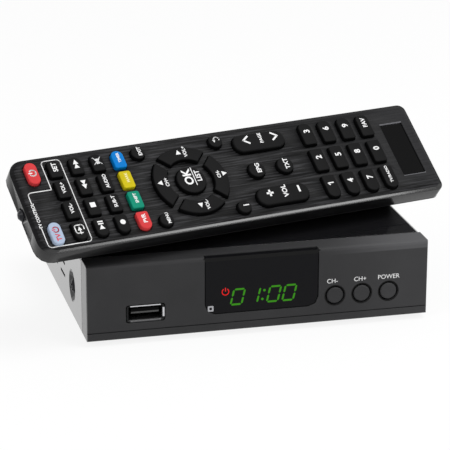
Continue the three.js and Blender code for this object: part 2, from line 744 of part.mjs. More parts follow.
function heatSinkPiece() {
  const low = boardTop + 2 * clearance + chip.height;
  const { size, base, height, fins, finThickness } = heatSink;
  const [front, back] = [chipBack - size / 2, chipBack + size / 2];
  const plate = centred(chipAcross, size, front, back, low, low + base);
  const step = (size - finThickness) / (fins - 1);
  const blades = Array.from({ length: fins }, (_, i) => centred(
    chipAcross + (i - (fins - 1) / 2) * step, finThickness, front, back, low + base - embed, low + height,
  ));
  return join(plate, ...blades);
}

// Upright capacitor with the crimp ring near its foot
function capacitorPiece() {
  const { radius, height, crimp, crimpHeight, crimpLevel } = capacitor;
  const body = turned([
    [0, 0], [radius, 0], [radius, crimpLevel], [radius - crimp, crimpLevel + crimpHeight / 2],
    [radius, crimpLevel + crimpHeight], [radius, height], [0, height],
  ], barrelSides);
  const [across, back] = boardScrewPlaces()[3];
  body.translate(across - capacitor.fromScrew, back, boardTop + clearance);
  return body;
}

// Screened can of the tuner, with a lid that stands proud of its walls
function tunerCan() {
  const { depth, width, height, rib, ribStep } = tuner;
  const middle = aerial.middleShare * housing.width;
  const back = rearInner - clearance - aerial.flangeThickness - clearance;
  const low = boardTop + clearance;
  const body = centred(middle, width - 2 * ribStep, back - depth + ribStep, back, low, low + height);
  const lid = centred(middle, width, back - depth, back - embed, low + height - rib, low + height - embed);
  return join(body, lid);
}

// Threadless aerial sockets: the input has a hole for a pin, the output has the pin
function aerialSocket(across, isOutput) {
  const { barrelRadius, bore, reach, flangeRadius, flangeThickness, boreDepth } = aerial;
  const { coreRadius, coreHole, pinRadius, pinShort, seat } = aerial;
  const flangeFront = rearInner - clearance - flangeThickness;
  const length = rearFace + reach - flangeFront;
  const mouth = length - boreDepth;
  const core = isOutput
    ? [[0, length - pinShort], [pinRadius, length - pinShort], [pinRadius, mouth]]
    : [[0, mouth], [coreHole, mouth], [coreHole, length - pinShort], [coreRadius, length - pinShort],
      [coreRadius, mouth]];
  const profile = [
    [0, 0], [flangeRadius, 0], [flangeRadius, flangeThickness], [barrelRadius, flangeThickness],
    [barrelRadius, length - seat], [barrelRadius - seat / 2, length], [bore, length], [bore, mouth],
    ...core.reverse(),
  ];
  const body = turned(profile, barrelSides);
  body.rotateX(-Math.PI / 2);
  body.translate(across, flangeFront, boardTop + aerialUp());
  return body;
}

// The video socket's mouth: wide at the top, chamfered in at the bottom
function videoOutline(grow) {
  const { width, height, chamfer, chamferRise } = videoSocket;
  const half = width / 2 + grow;
  return moved(polygon(
    [-half + chamfer, -grow], [half - chamfer, -grow], [half, chamferRise], [half, height + grow],
    [-half, height + grow], [-half, chamferRise],
  ), videoAcross, boardTop + clearance);
}

function videoSocketPiece() {
  const { height, wall, depth, tongueWidth, tongueThickness, tongueShort, heelDepth } = videoSocket;
  const front = rearFace - depth;
  const outer = prism('y', videoOutline(0), front, rearFace);
  const bore = prism('y', videoOutline(-wall), front + heelDepth, rearFace + overrun);
  const middle = boardTop + clearance + height / 2;
  const tongue = centred(
    videoAcross, tongueWidth, front + heelDepth - embed, rearFace - tongueShort, middle - tongueThickness / 2,
    middle + tongueThickness / 2,
  );
  return join(cut(outer, bore), tongue);
}

// The wide audio and video socket: a shroud with one slanted end, a moat behind its wall and two
// rows of contact slots in its core
function scartSocket() {
  const { width, height, depth, shellWall, moat, moatDepth, cornerRadius } = scart;
  const low = boardTop + clearance;
  const middle = low + height / 2;
  const outline = moved(rounded(width, height, cornerRadius), scartAcross, middle);
  const body = prism('y', outline, rearFace - depth, rearFace);
  const moatTool = cut(
    prism('y', scartOutline(shellWall, middle), rearFace - moatDepth, rearFace + overrun),
    prism('y', scartOutline(shellWall + moat, middle), rearFace - depth, rearFace + 2 * overrun),
  );
  const slots = [];
  for (let row = 0; row < scart.slotRows; row += 1) {
    for (let i = 0; i < scart.slotCount; i += 1) {
      const x = scartAcross + (i - (scart.slotCount - 1) / 2) * scart.slotPitch + row * scart.slotWidth;
      const z = middle + (row - (scart.slotRows - 1) / 2) * scart.slotRowPitch;
      slots.push(centred(
        x, scart.slotWidth, rearFace - scart.slotDepth, rearFace + overrun,
        z - scart.slotHeight / 2, z + scart.slotHeight / 2,
      ));
    }
  }
  return cut(body, moatTool, ...slots);
}

function scartOutline(inset, middle) {
  const half = scart.width / 2 - inset;
  const rise = scart.height / 2 - inset;
  return moved(polygon(
    [-half + scart.slant / 2, -rise], [half, -rise], [half, rise], [-half, rise],
    [-half, -rise + scart.slant],
  ), scartAcross, middle);
}

// The power inlet: a block with a round hole and a pin in the middle of it
function powerInlet() {
  const { width, height, depth, hole, holeDepth, pinRadius, holeUp } = inlet;
  const low = boardTop + clearance;
  const body = centred(inletAcross, width, rearFace - depth, rearFace, low, low + height);
  const bore = rod('y', hole, rearFace - holeDepth, rearFace + overrun, inletAcross, low + holeUp);
  const pin = rod(
    'y', pinRadius, rearFace - holeDepth - embed, rearFace - overrun, inletAcross, low + holeUp,
  );
  return join(cut(body, bore), pin);
}

function receiver() {
  const group = new THREE.Group();
  const aerials = aerialPlaces();
  group.add(
    piece('base_tray', baseTray(), 'steel'),
    piece('top_cover', topCover(), 'glossBlack'),
    piece('front_panel', frontPanel(), 'mattBlack'),
    piece('display_window', displayWindow(), 'smoked'),
    piece('display_module', displayModule(), 'package'),
    piece('standby_lamp', standbyLamp(), 'redLens'),
    piece('infrared_receiver', infraredReceiver(), 'package'),
    piece('front_board', frontBoardPlate(), 'board'),
    piece('front_board_header', headerPiece(), 'package'),
    piece('usb_socket_shell', usbShell(), 'plated'),
    piece('usb_contact_tongue', usbTongue(), 'package'),
    piece('main_board', mainBoardPlate(), 'board'),
    piece('system_chip', systemChip(), 'package'),
    piece('heat_sink', heatSinkPiece(), 'zinc'),
    piece('capacitor', capacitorPiece(), 'package'),
    piece('tuner_can', tunerCan(), 'zinc'),
    piece('antenna_input_socket', aerialSocket(aerials[0], false), 'plated'),
    piece('antenna_output_plug', aerialSocket(aerials[1], true), 'plated'),
    piece('video_socket', videoSocketPiece(), 'plated'),
    piece('scart_socket', scartSocket(), 'package'),
    piece('power_inlet', powerInlet(), 'package'),
    piece('side_screw_left', sideScrewPiece(-1), 'steel'),
    piece('side_screw_right', sideScrewPiece(1), 'steel'),
  );
  boardScrewPlaces().forEach((place, i) => {
    group.add(piece(`board_screw_${i + 1}`, boardScrewPiece(place), 'zinc'));
  });
  const footAcross = housing.width / 2 - foot.inset;
  const footBack = housing.depth - foot.inset;
  [[-1, foot.inset + bodyFront], [1, foot.inset + bodyFront], [-1, footBack], [1, footBack]].forEach(
    ([side, back], i) => group.add(piece(`foot_${i + 1}`, footPiece(side * footAcross, back), 'rubber')),
  );
  button.names.forEach((name, i) => {
    group.add(piece(`${name}_switch`, pushSwitchBody(i), 'package'));
    group.add(piece(`${name}_button`, buttonPiece(i), 'mattBlack'));
  });
  return group;
}

// Levels of the remote control, below its face, and the length of its battery bay
const keyUnder = -(remote.wall + clearance + key.flange);
const remoteBoardTop = keyUnder - key.plunger - key.travel - clearance;
const remoteBoardUnder = remoteBoardTop - remoteBoard.thickness;
const backInset = (remote.width - remote.backWidth) / 2;
const shellJoint = -(remote.topHeight + clearance);
const batteryLevel = -(remote.thickness - batteryDoor.thickness - clearance - battery.radius);
const bayLength = 2 * contact.thickness + contact.spring + battery.length + 3 * clearance;
const bayEnd = remote.length / 2 - bay.fromTail;
const bayStart = bayEnd - bayLength;
const padAlong = arrowPad.alongShare * remote.length;
const middleAlong = middleKeys.alongShare * remote.length;
const rockerAcross = rocker.acrossShare * remote.width;

// How far the casing's side has drawn in at a level of the lower shell
function taper(level) {
  const share = (shellJoint - level) / (remote.thickness + shellJoint);
  return backInset * share ** remote.taperPower;
}

// The casing's outline, its head to the left with wide corners and its tail to the right with tight ones
function casingOutline(inset) {
  const standing = rounded(
    remote.width - 2 * inset, remote.length - 2 * inset, remote.tailRadius, remote.cornerSteps,
    remote.headRadius,
  );
  return standing.map((point) => new THREE.Vector2(point.y, -point.x));
}

function lowerRings(inset, bottom, top) {
  return Array.from({ length: remote.taperRings + 1 }, (_, i) => {
    const level = shellJoint - (shellJoint - bottom) * (1 - i / remote.taperRings);
    return { outline: casingOutline(taper(level) + inset), level: i === remote.taperRings ? top : level };
  });
}

// A key's outline, and how it grows to its sides and to its ends. The blocks' keys have square corners
// inside the block and round ones at its far and near edges.
function blockKey(size, farRadius, nearRadius) {
  const steps = (radius) => (radius > key.cornerRadius ? cornerSteps : slotSteps);
  return (grow, endGrow = grow) => rounded(
    size.width + 2 * grow, size.length + 2 * endGrow, farRadius + endGrow, steps(farRadius),
    nearRadius + endGrow, steps(nearRadius),
  );
}

const keyEnd = key.endRadiusShare * key.width;
const numberEnd = key.endRadiusShare * numberKeys.width;
const powerEnd = powerKeys.radiusShare * powerKeys.width;
const rockerEnd = rocker.radiusShare * rocker.width;
const keyShapes = {
  middle: blockKey(key, key.cornerRadius, key.cornerRadius),
  far: blockKey(key, keyEnd, key.cornerRadius),
  near: blockKey(key, key.cornerRadius, keyEnd),
  numberMiddle: blockKey(numberKeys, key.cornerRadius, key.cornerRadius),
  numberFar: blockKey(numberKeys, numberEnd, key.cornerRadius),
  numberNear: blockKey(numberKeys, key.cornerRadius, numberEnd),
  power: blockKey(powerKeys, powerEnd, powerEnd),
  small: (grow) => circle(smallKeys.radius + grow),
  round: (grow) => circle(middleKeys.radius + grow),
  ok: (grow) => circle(arrowPad.okRadius + grow),
  rocker: (grow) => rounded(
    rocker.length + 2 * grow, rocker.width + 2 * grow, rockerEnd + grow, rocker.steps,
  ),
};

// A quarter of a ring, its ends cut parallel to the diagonals
function arrowOutline(quarter, grow) {
  const outer = arrowPad.outer + grow;
  const inner = arrowPad.inner - grow;
  const halfGap = arrowPad.gap / 2 - grow;
  const middle = (quarter * Math.PI) / 2;
  const outerSpan = Math.PI / 4 - Math.asin(halfGap / outer);
  const innerSpan = Math.PI / 4 - Math.asin(halfGap / inner);
  const arc = (radius, from, to) => Array.from({ length: arrowPad.steps + 1 }, (_, i) => {
    const angle = middle + from + ((to - from) * i) / arrowPad.steps;
    return new THREE.Vector2(padAlong + radius * Math.cos(angle), radius * Math.sin(angle));
  });
  return [...arc(outer, -outerSpan, outerSpan), ...arc(inner, innerSpan, -innerSpan)];
}

function placedKey(shape, along, across) {
  return (grow, endGrow) => moved(keyShapes[shape](grow, endGrow), along, across);
}

// Keys that the rubber mat carries: the black keys of the blocks, the small round keys and the numbers
function matKeys() {
  const keys = [];
  const rowShapes = ['far', 'middle', 'middle', 'near'];
  for (let column = 0; column < upperKeys.columns - 1; column += 1) {
    rowShapes.forEach((shape, row) => keys.push(
      placedKey(shape, upperColumn(column), upperRow(row)),
    ));
  }
  for (const end of [-1, 1]) {
    for (const side of [-1, 1]) {
      keys.push(placedKey(
        'small', padAlong + end * smallKeys.alongShare * remote.length,
        side * smallKeys.acrossShare * remote.width,
      ));
    }
    keys.push(placedKey('round', middleAlong + end * middleKeys.spread, 0));
  }
  const numberShapes = ['numberFar', 'numberMiddle', 'numberNear'];
  for (let column = 0; column < numberKeys.columns; column += 1) {
    const along = (numberKeys.firstShare + column * numberKeys.pitchShare) * remote.length;
    numberShapes.forEach((shape, row) => keys.push(
      placedKey(shape, along, (1 - row) * numberKeys.rowPitchShare * remote.width),
    ));
  }
  return keys;
}

function upperColumn(column) {
  return (upperKeys.firstShare + column * upperKeys.pitchShare) * remote.length;
}

function upperRow(row) {
  return ((upperKeys.rows - 1) / 2 - row) * upperKeys.rowPitchShare * remote.width;
}

// Keys that travel by themselves: name, outline and surface
function colourKeys() {
  const colourAlong = upperColumn(upperKeys.columns - 1);
  const powerAlong = powerKeys.alongShare * remote.length;
  const powerAcross = powerKeys.acrossShare * remote.width;
  return [
    ['remote_power_key', placedKey('power', powerAlong, powerAcross), 'keyRed'],
    ['tv_power_key', placedKey('power', powerAlong, -powerAcross), 'keyPale'],
    ['blue_key', placedKey('far', colourAlong, upperRow(0)), 'keyBlue'],
    ['yellow_key', placedKey('middle', colourAlong, upperRow(1)), 'keyYellow'],
    ['green_key', placedKey('middle', colourAlong, upperRow(2)), 'keyGreen'],
    ['red_key', placedKey('near', colourAlong, upperRow(3)), 'keyRed'],
  ];
}

function padKeys() {
  const arrows = [['down', 0], ['right', 1], ['up', 2], ['left', 3]];
  return [
    ['ok_key', placedKey('ok', padAlong, 0), 'keyRubber'],
    ...arrows.map(([name, quarter]) => [`${name}_key`, (grow) => arrowOutline(quarter, grow), 'keyRubber']),
  ];
}

function loneKeys() {
  return [...colourKeys(), ...padKeys()];
}

function rockerKeys() {
  return [
    ['page_rocker', placedKey('rocker', middleAlong, rockerAcross), rockerAcross],
    ['volume_rocker', placedKey('rocker', middleAlong, -rockerAcross), -rockerAcross],
  ];
}

// A lone key: plunger, flange under the shell, cap through the shell and a bevelled top
function loneKeySolid(outline) {
  return loft([
    { outline: outline(-key.plungerInset), level: keyUnder - key.plunger },
    { outline: outline(-key.plungerInset), level: keyUnder },
    { outline: outline(key.flangeReach, 0), level: keyUnder },
    { outline: outline(key.flangeReach, 0), level: keyUnder + key.flange },
    { outline: outline(0), level: keyUnder + key.flange },
    { outline: outline(0), level: key.proud - key.bevel },
    { outline: outline(-key.bevel), level: key.proud },
  ]);
}

// A rocker tips about its middle, so only its middle has a flange under the shell
function rockerSolid(outline, across) {
  const cap = loft([
    { outline: outline(-key.bevel), level: keyUnder },
    { outline: outline(0), level: keyUnder + key.bevel },
    { outline: outline(0), level: key.proud - key.bevel },
    { outline: outline(-key.bevel), level: key.proud },
  ]);
  const flange = block(
    middleAlong - rocker.flangeLength / 2, middleAlong + rocker.flangeLength / 2,
    across - rocker.width / 2 - key.flangeReach, across + rocker.width / 2 + key.flangeReach, keyUnder,
    keyUnder + key.flange,
  );
  const reach = rocker.length / 2 - rocker.plungerRadius - key.plungerInset;
  const plungers = [-reach, reach].map((along) => rod(
    'z', rocker.plungerRadius, keyUnder - key.plunger, keyUnder + embed, middleAlong + along, across,
    smallSides,
  ));
  return join(cap, flange, ...plungers);
}

// Upper shell: face with a bevelled edge, straight sides, a hole for every key, a recess for a name
// plate and half of the hole for the infrared lamp
function remoteTopShell() {
  const { edge, wall, topHeight } = remote;
  const outer = loft([
    { outline: casingOutline(0), level: -topHeight },
    { outline: casingOutline(0), level: -edge },
    { outline: casingOutline(edge), level: 0 },
  ]);
  const hollow = prism('z', casingOutline(wall), -topHeight - overrun, -wall);
  const moving = [...loneKeys(), ...rockerKeys()].map(([, outline]) => outline);
  const holes = [...matKeys(), ...moving].map(
    (outline) => prism('z', outline(key.slack), -wall - overrun, overrun),
  );
  const plateAlong = namePlate.alongShare * remote.length;
  const plate = prism(
    'z', moved(rounded(namePlate.length, namePlate.width, namePlate.cornerRadius), plateAlong, 0),
    -namePlate.depth, overrun,
  );
  return cut(outer, hollow, ...holes, plate, beamHole());
}

function beamHole() {
  const end = -remote.length / 2;
  return rod('x', beam.radius + clearance, end - overrun, end + 2 * remote.wall + overrun, 0, beamLevel());
}

function beamLevel() {
  return remoteBoardTop - remoteBoard.thickness / 2;
}

// Rubber mat: a sheet under the shell with the black keys standing on it, a rim that rests on the
// board, and openings for the keys that travel by themselves
function remoteKeypad() {
  const matTop = -(remote.wall + clearance);
  const inset = remote.wall + clearance;
  const sheet = prism('z', casingOutline(inset), keyUnder, matTop);
  const rim = cut(
    prism('z', casingOutline(inset), remoteBoardTop + clearance, keyUnder + embed),
    prism('z', casingOutline(inset + mat.rim), remoteBoardTop - overrun, keyUnder + 2 * embed),
  );
  const caps = matKeys().map((outline) => loft([
    { outline: outline(0), level: matTop - embed },
    { outline: outline(0), level: key.proud - key.bevel },
    { outline: outline(-key.bevel), level: key.proud },
  ]));
  const grown = key.flangeReach + clearance;
  const through = (outline) => prism('z', outline, remoteBoardTop - overrun, key.proud + overrun);
  const holes = colourKeys().map(([, outline]) => through(outline(grown, clearance)));
  const pad = through(moved(circle(arrowPad.outer + grown), padAlong, 0));
  const rockers = rockerKeys().map(([, outline]) => through(outline(grown)));
  const end = -remote.length / 2;
  const notch = block(
    end - overrun, end + mat.headNotch + remote.wall, -beam.radius - 2 * clearance - beam.collar,
    beam.radius + 2 * clearance + beam.collar, remoteBoardTop - overrun, overrun,
  );
  return cut(join(sheet, rim, ...caps), ...holes, pad, ...rockers, notch);
}

function remoteBoardPlate() {
  const inset = remote.wall + clearance + remote.lip + clearance;
  const end = -remote.length / 2;
  const notch = block(
    end - overrun, end + remote.wall + mat.headNotch, -beam.radius - 2 * clearance - beam.collar,
    beam.radius + 2 * clearance + beam.collar, remoteBoardUnder - overrun, remoteBoardTop + overrun,
  );
  return cut(prism('z', casingOutline(inset), remoteBoardUnder, remoteBoardTop), notch);
}

// The infrared lamp lies along the remote, its dome out through the end wall
function remoteBeam() {
  const { radius, domeReach, length, collar, collarLength, noseSteps } = beam;
  const straight = length - radius;
  const nose = Array.from({ length: noseSteps + 1 }, (_, i) => {
    const angle = ((i / noseSteps) * Math.PI) / 2;
    return [i === noseSteps ? 0 : radius * Math.cos(angle), straight + radius * Math.sin(angle)];
  });
  const body = turned([
    [0, 0], [radius + collar, 0], [radius + collar, collarLength], [radius, collarLength], ...nose,
  ]);
  body.rotateY(-Math.PI / 2);
  body.translate(-remote.length / 2 - domeReach + length, 0, beamLevel());
  return body;
}

// Lower shell: sides that draw in to a narrow back, a lip inside the upper shell, a battery bay with
// grooves for the cover's rails, and posts under the board
function remoteBottomShell() {
  const { backWall, thickness, wall, lip, lipRise } = remote;
  const outer = loft(lowerRings(0, -thickness, shellJoint));
  const hollow = loft(lowerRings(backWall, -thickness + backWall, shellJoint + overrun));
  const lipOuter = casingOutline(wall + clearance);
  const lipInner = casingOutline(wall + clearance + lip);
  const lipFoot = shellJoint - 2 * backWall;
  const lipRing = cut(
    prism('z', lipOuter, lipFoot, shellJoint + lipRise),
    prism('z', lipInner, lipFoot - overrun, shellJoint + lipRise + overrun),
  );
  const frameTop = remoteBoardUnder - clearance;
  const frameHalf = batteryDoor.halfWidth + clearance;
  const frame = block(
    bayStart - bay.wall, bayEnd + bay.wall, -frameHalf - bay.wall, frameHalf + bay.wall,
    -thickness + embed, frameTop,
  );
  const frameBody = common(frame, loft(lowerRings(embed, -thickness + embed, frameTop)));
  const pocket = block(bayStart, bayEnd, -frameHalf, frameHalf, -thickness - overrun, frameTop + overrun);
  const doorway = block(
    bayStart, remote.length / 2 + overrun, -frameHalf, frameHalf, -thickness - overrun,
    railTop() + clearance,
  );
  const grooveHalf = batteryDoor.halfWidth + batteryDoor.railReach + clearance;
  const groove = block(
    bayStart, remote.length / 2 + overrun, -grooveHalf, grooveHalf, railBottom() - clearance,
    railTop() + clearance,
  );
  const posts = [-1, 1].map((side) => rod(
    'z', innerPost.radius, -thickness + backWall / 2, frameTop, innerPost.alongShare * remote.length,
    side * innerPost.acrossShare * remote.width, smallSides,
  ));
  const body = join(cut(outer, hollow), lipRing, frameBody, ...posts);
  return cut(body, pocket, doorway, groove, beamHole());
}

function railBottom() {
  return -remote.thickness + batteryDoor.thickness + batteryDoor.railLift;
}

function railTop() {
  return railBottom() + batteryDoor.railHeight;
}

// Battery cover: a plate that follows the casing's end, a rail along each side and bars for the thumb
function batteryCover() {
  const { halfWidth, thickness, railReach, railWall } = batteryDoor;
  const bottom = -remote.thickness;
  const plateBox = block(
    bayStart + clearance, remote.length / 2 + overrun, -halfWidth, halfWidth, bottom - overrun,
    bottom + thickness,
  );
  const plate = common(plateBox, loft(lowerRings(0, bottom, shellJoint)));
  const rails = [];
  for (const side of [-1, 1]) {
    const wallMiddle = side * (halfWidth - railWall / 2);
    rails.push(block(
      bayStart + clearance, bayEnd, wallMiddle - railWall / 2, wallMiddle + railWall / 2,
      bottom + embed, railTop(),
    ));
    const lipMiddle = side * (halfWidth + railReach / 2 - embed);
    rails.push(block(
      bayStart + clearance, bayEnd, lipMiddle - railReach / 2 - embed,
      lipMiddle + railReach / 2 + embed, railBottom(), railTop(),
    ));
  }
  const bars = Array.from({ length: thumbGrip.bars }, (_, i) => {
    const along = bayStart + thumbGrip.fromEdge + i * thumbGrip.pitch;
    return block(
      along - thumbGrip.width / 2, along + thumbGrip.width / 2, -thumbGrip.length / 2, thumbGrip.length / 2,
      bottom - thumbGrip.height, bottom + embed,
    );
  });
  return join(plate, ...rails, ...bars);
}

// A cell lying along the remote, its flat end against a spring
function batteryPiece(side) {
  const { radius, length, nubRadius, nubHeight } = battery;
  const body = turned([
    [0, 0], [radius, 0], [radius, length - nubHeight], [nubRadius, length - nubHeight],
    [nubRadius, length], [0, length],
  ], barrelSides);
  body.rotateY((side * Math.PI) / 2);
  const flatEnd = contact.thickness + contact.spring + clearance;
  const start = side > 0 ? bayStart + clearance + flatEnd : bayEnd - clearance - flatEnd;
  body.translate(start, side * (battery.radius + clearance / 2), batteryLevel);
  return body;
}

// A contact plate at one end of the bay, with a tapered spring for the flat end of one cell
function batteryContact(end) {
  const { thickness, spring, springRadius, springTip, springTurns, groove } = contact;
  const outerFace = end > 0 ? bayEnd - clearance : bayStart + clearance;
  const [low, high] = [outerFace, outerFace - end * thickness].sort((a, b) => a - b);
  const plate = block(
    low, high, -2 * battery.radius, 2 * battery.radius, batteryLevel - battery.radius / 2,
    batteryLevel + battery.radius,
  );
  const coil = [[0, 0], [springRadius, 0]];
  for (let turn = 1; turn <= springTurns; turn += 1) {
    const radius = springRadius + ((springTip - springRadius) * turn) / springTurns;
    const waist = ((thickness + spring) * (turn - 1 / 2)) / springTurns;
    coil.push([radius - groove, waist]);
    coil.push([radius, ((thickness + spring) * turn) / springTurns]);
  }
  coil.push([0, thickness + spring]);
  const springBody = turned(coil, smallSides);
  springBody.rotateY((-end * Math.PI) / 2);
  springBody.translate(outerFace, -end * (battery.radius + clearance / 2), batteryLevel);
  return join(plate, springBody);
}

function remoteControl() {
  const group = new THREE.Group();
  group.add(
    piece('remote_top_shell', remoteTopShell(), 'mattBlack'),
    piece('remote_bottom_shell', remoteBottomShell(), 'mattBlack'),
    piece('remote_keypad', remoteKeypad(), 'keyRubber'),
    piece('remote_circuit_board', remoteBoardPlate(), 'board'),
    piece('remote_infrared_lamp', remoteBeam(), 'clearBlue'),
    piece('battery_cover', batteryCover(), 'mattBlack'),
    piece('battery_left', batteryPiece(1), 'sleeve'),
    piece('battery_right', batteryPiece(-1), 'sleeve'),
    piece('battery_contact_inner', batteryContact(-1), 'plated'),
    piece('battery_contact_outer', batteryContact(1), 'plated'),
  );
  for (const [name, outline, surface] of loneKeys()) {
    group.add(piece(name, loneKeySolid(outline), surface));
  }
  for (const [name, outline, across] of rockerKeys()) {
    group.add(piece(name, rockerSolid(outline, across), 'keyRubber'));
  }
  return group;
}

// The remote leans back with its lower back edge resting on the receiver's cover
function leaningRemote() {
  const tilt = THREE.MathUtils.degToRad(remotePose.tiltDegrees);
  const turn = THREE.MathUtils.degToRad(remotePose.turnDegrees);
  const edge = new THREE.Vector3(0, -remote.backWidth / 2, -remote.thickness);
  const leaning = remoteControl();
  leaning.rotation.x = tilt;
  leaning.position.copy(edge).applyAxisAngle(new THREE.Vector3(1, 0, 0), tilt).negate();
  const standing = new THREE.Group();
  standing.add(leaning);
  standing.rotation.z = turn;
  standing.position.set(remotePose.restAcross, remotePose.restBack, housingTop + clearance);
  return standing;
}

const part = new THREE.Group();
part.add(receiver(), leaningRemote());
part.updateMatrixWorld(true);
const bounds = new THREE.Box3().setFromObject(part, true);
const middle = bounds.getCenter(new THREE.Vector3());
part.position.set(-middle.x, -middle.y, -bounds.min.z);
part.updateMatrixWorld(true);

export default part;
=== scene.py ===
# Digital television receiver with its remote control leaning on the cover.
# Shapes are drawn in millimetres of the housing's or the remote's own place and set into the frame.

import json
import math

import bmesh
import bpy
from mathutils import Matrix, Vector
from mathutils.geometry import tessellate_polygon


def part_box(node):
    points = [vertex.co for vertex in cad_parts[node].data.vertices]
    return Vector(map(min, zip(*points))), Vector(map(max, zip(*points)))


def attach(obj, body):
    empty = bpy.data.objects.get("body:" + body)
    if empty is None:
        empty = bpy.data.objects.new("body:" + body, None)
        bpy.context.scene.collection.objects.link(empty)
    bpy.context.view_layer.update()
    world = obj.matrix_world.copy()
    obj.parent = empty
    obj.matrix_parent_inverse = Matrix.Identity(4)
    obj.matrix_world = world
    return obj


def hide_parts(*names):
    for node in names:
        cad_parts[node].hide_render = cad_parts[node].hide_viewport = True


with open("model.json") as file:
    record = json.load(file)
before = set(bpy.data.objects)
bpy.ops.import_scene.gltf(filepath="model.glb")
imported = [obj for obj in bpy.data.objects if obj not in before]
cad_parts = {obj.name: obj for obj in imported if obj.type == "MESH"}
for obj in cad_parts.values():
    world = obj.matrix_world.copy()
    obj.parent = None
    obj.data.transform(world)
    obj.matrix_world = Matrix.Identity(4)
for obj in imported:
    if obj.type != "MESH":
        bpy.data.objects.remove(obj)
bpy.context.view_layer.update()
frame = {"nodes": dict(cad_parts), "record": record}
nodes = frame["nodes"]
joints = {joint["name"]: joint for joint in frame["record"]["behaviour"]["joints"]}
tint = {entry["slot"]: (*entry["base_color"], 1.0) for entry in frame["record"]["materials"]}

MM = 0.001
PER_METRE = 1 / MM

# Steps of round outlines, the distance at which corners merge, the angle of a sharp edge and the height
# of the font's capitals
CORNER_STEPS = 8
CIRCLE_STEPS = 36
EDGE_STEPS = 4
MERGE = 0.0005
SHARP = math.radians(38)
CAPITAL = 0.73

# Fits and the casing of the remote control. The rims at both ends of its sunk plate get a painted highlight,
# and their fades are in square millimetres.
CLEARANCE = 0.3
CASING = {"length": 169.9, "width": 41.1, "head": 6, "tail": 3, "wall": 1.6, "height": 6.2}
EDGE = {"width": 1.45, "middle": (0.4, 0.5), "side": 0.95, "steps": 4, "hold": 0.06}
HOLE_RIM = 0.2
PLATE = {"along": 75.06, "length": 9.8, "width": 24, "depth": 0.5, "radius": 0.6, "slack": 0.05,
         "lit_rim": 0.3, "fades": (1.5, 3.0, 1.0)}
PIVOT = {"along": 15.96, "depth": 2.3}

# Streaks of the casing's face, in lumps to the millimetre along and across it, and the places along,
# across and out of the face where the finish starts to change and where the change is complete. Towards
# the tail the face is painted lighter, a painted sheen.
STREAKS = {"fine": (0.05, 1.4), "wide": (0.02, 0.5), "patches": (0.03, 0.12), "out": 0.5}
CHANGES = {"number_keys": (28.0, 36.0), "near_margin": (-17.0, -13.0), "tail": (64.0, 80.0),
           "side": (-0.06, -0.2), "near_slope": (-17.5, -19.0), "walls": (-0.7, -1.1)}

# Keys of the remote control
KEY = {"proud": 1.5, "edge": 0.4, "slack": 0.3, "flange": 0.8, "reach": 0.6, "plunger": 0.4, "inset": 0.7}
BLOCK_KEY = {"width": 4.8, "length": 7.5, "corner": 0.9, "end": 2.3}
NUMBER_KEY = {"width": 5.4, "length": 10, "corner": 0.9, "end": 2.59}
UPPER = {"first": -68.44, "pitch": 8.6, "columns": 4, "rows": 4, "row_pitch": 9.15}
NUMBERS = {"first": 37.1, "pitch": 8.57, "columns": 4, "row_pitch": 12.34}
POWER_KEY = {"along": -77.3, "across": 13.2, "width": 4.6, "length": 9.3, "end": 2.2}
PAD = {"along": -17.9, "inner": 9.3, "outer": 14.9, "gap": 2.6, "ok": 5.8, "steps": 24, "sign_spread": 1.3}
SMALL = {"radius": 2.7, "along": 16.18, "across": 15.16}
MIDDLE = {"along": 15.96, "spread": 6.1, "radius": 3.35}
ROCKER = {"across": 12.36, "length": 21.9, "width": 7.9, "radius": 3.71, "sign_at": 6.2, "chevron": 1.53,
          "dash": 2.88, "dash_stroke": 0.81}
BEAM = {"radius": 2.5, "level": -4.8}

# Print: how high it lies on a surface, the heights of its letters and signs, how far along and across it
# sits from the middle of a key, and the line round the television's keys
LIFT = 0.02
WORD = 1.85
SMALL_WORD = 1.4
DIGIT = 2.5
STROKE = 0.42
SIGN = 2.1
SIGNS = {"source": 3.4, "mute": 3.0, "return": 1.1, "standby": 1.25, "tv_standby": 1.1}
SET_OFF = {"block": (0.1, 0.6), "round": (0.6, 0.6), "middle": (0.9, 1.2), "number": (0.0, 1.1),
           "ok": (0.1, 1.3)}
OK_PRINT = {"words": (("OK", -1.3, 3.4), ("LIST", 3.0, 2.0)), "rule": 8.0, "rule_at": 1.3}
TV_PRINT = {"sign_at": 1.4, "word_at": -1.9}
CONTROL_LINE = {"left": -81.6, "right": -64.6, "far": 18.4, "near": -18.0, "step_along": -72.1,
                "step_across": 5.9, "corner": 1.4, "gap": (-9.5, 1.3)}

# Display and print of the front panel, measured from the panel's middle and its lower edge. The bars of
# a figure run round it from the top one.
DISPLAY = {"low": 9.6, "height": 6.6, "width": 4.9, "bar": 0.74, "gap": 0.18, "slant": 0.23, "dot": 0.5}
LIT_BARS = {"0": (0, 1, 2, 3, 4, 5), "1": (1, 2)}
FIGURES = ((-8.4, "0"), (5.4, "0"), (11.3, "0"), (-2.5, "1"))
COLON = {"across": 1.35, "up": (11.2, 14.6)}
STANDBY = {"across": -13.1, "up": 15.2, "radius": 1.25, "stroke": 0.36}
EYE_MARK = {"across": -18.7, "up": 9.0, "size": 2.2, "radius": 0.35, "line": 0.6}
# Painted shade: a black strip along the top of the display window, for the shade of its recess.
WINDOW_PAINTED_SHADE = {"height": 1.4, "inset": 0.4}
# Painted shade: black rings round the front buttons, for the shade of the gaps round them.
BUTTON_SHADE_RING = (3.75, 4.1)
BUTTON_WORD = {"up": 16.1, "height": 1.8}
BUTTON_WORDS = (("channel_down_button", "CH-", -1.1), ("channel_up_button", "CH+", -0.7),
                ("power_button", "POWER", 0.0))

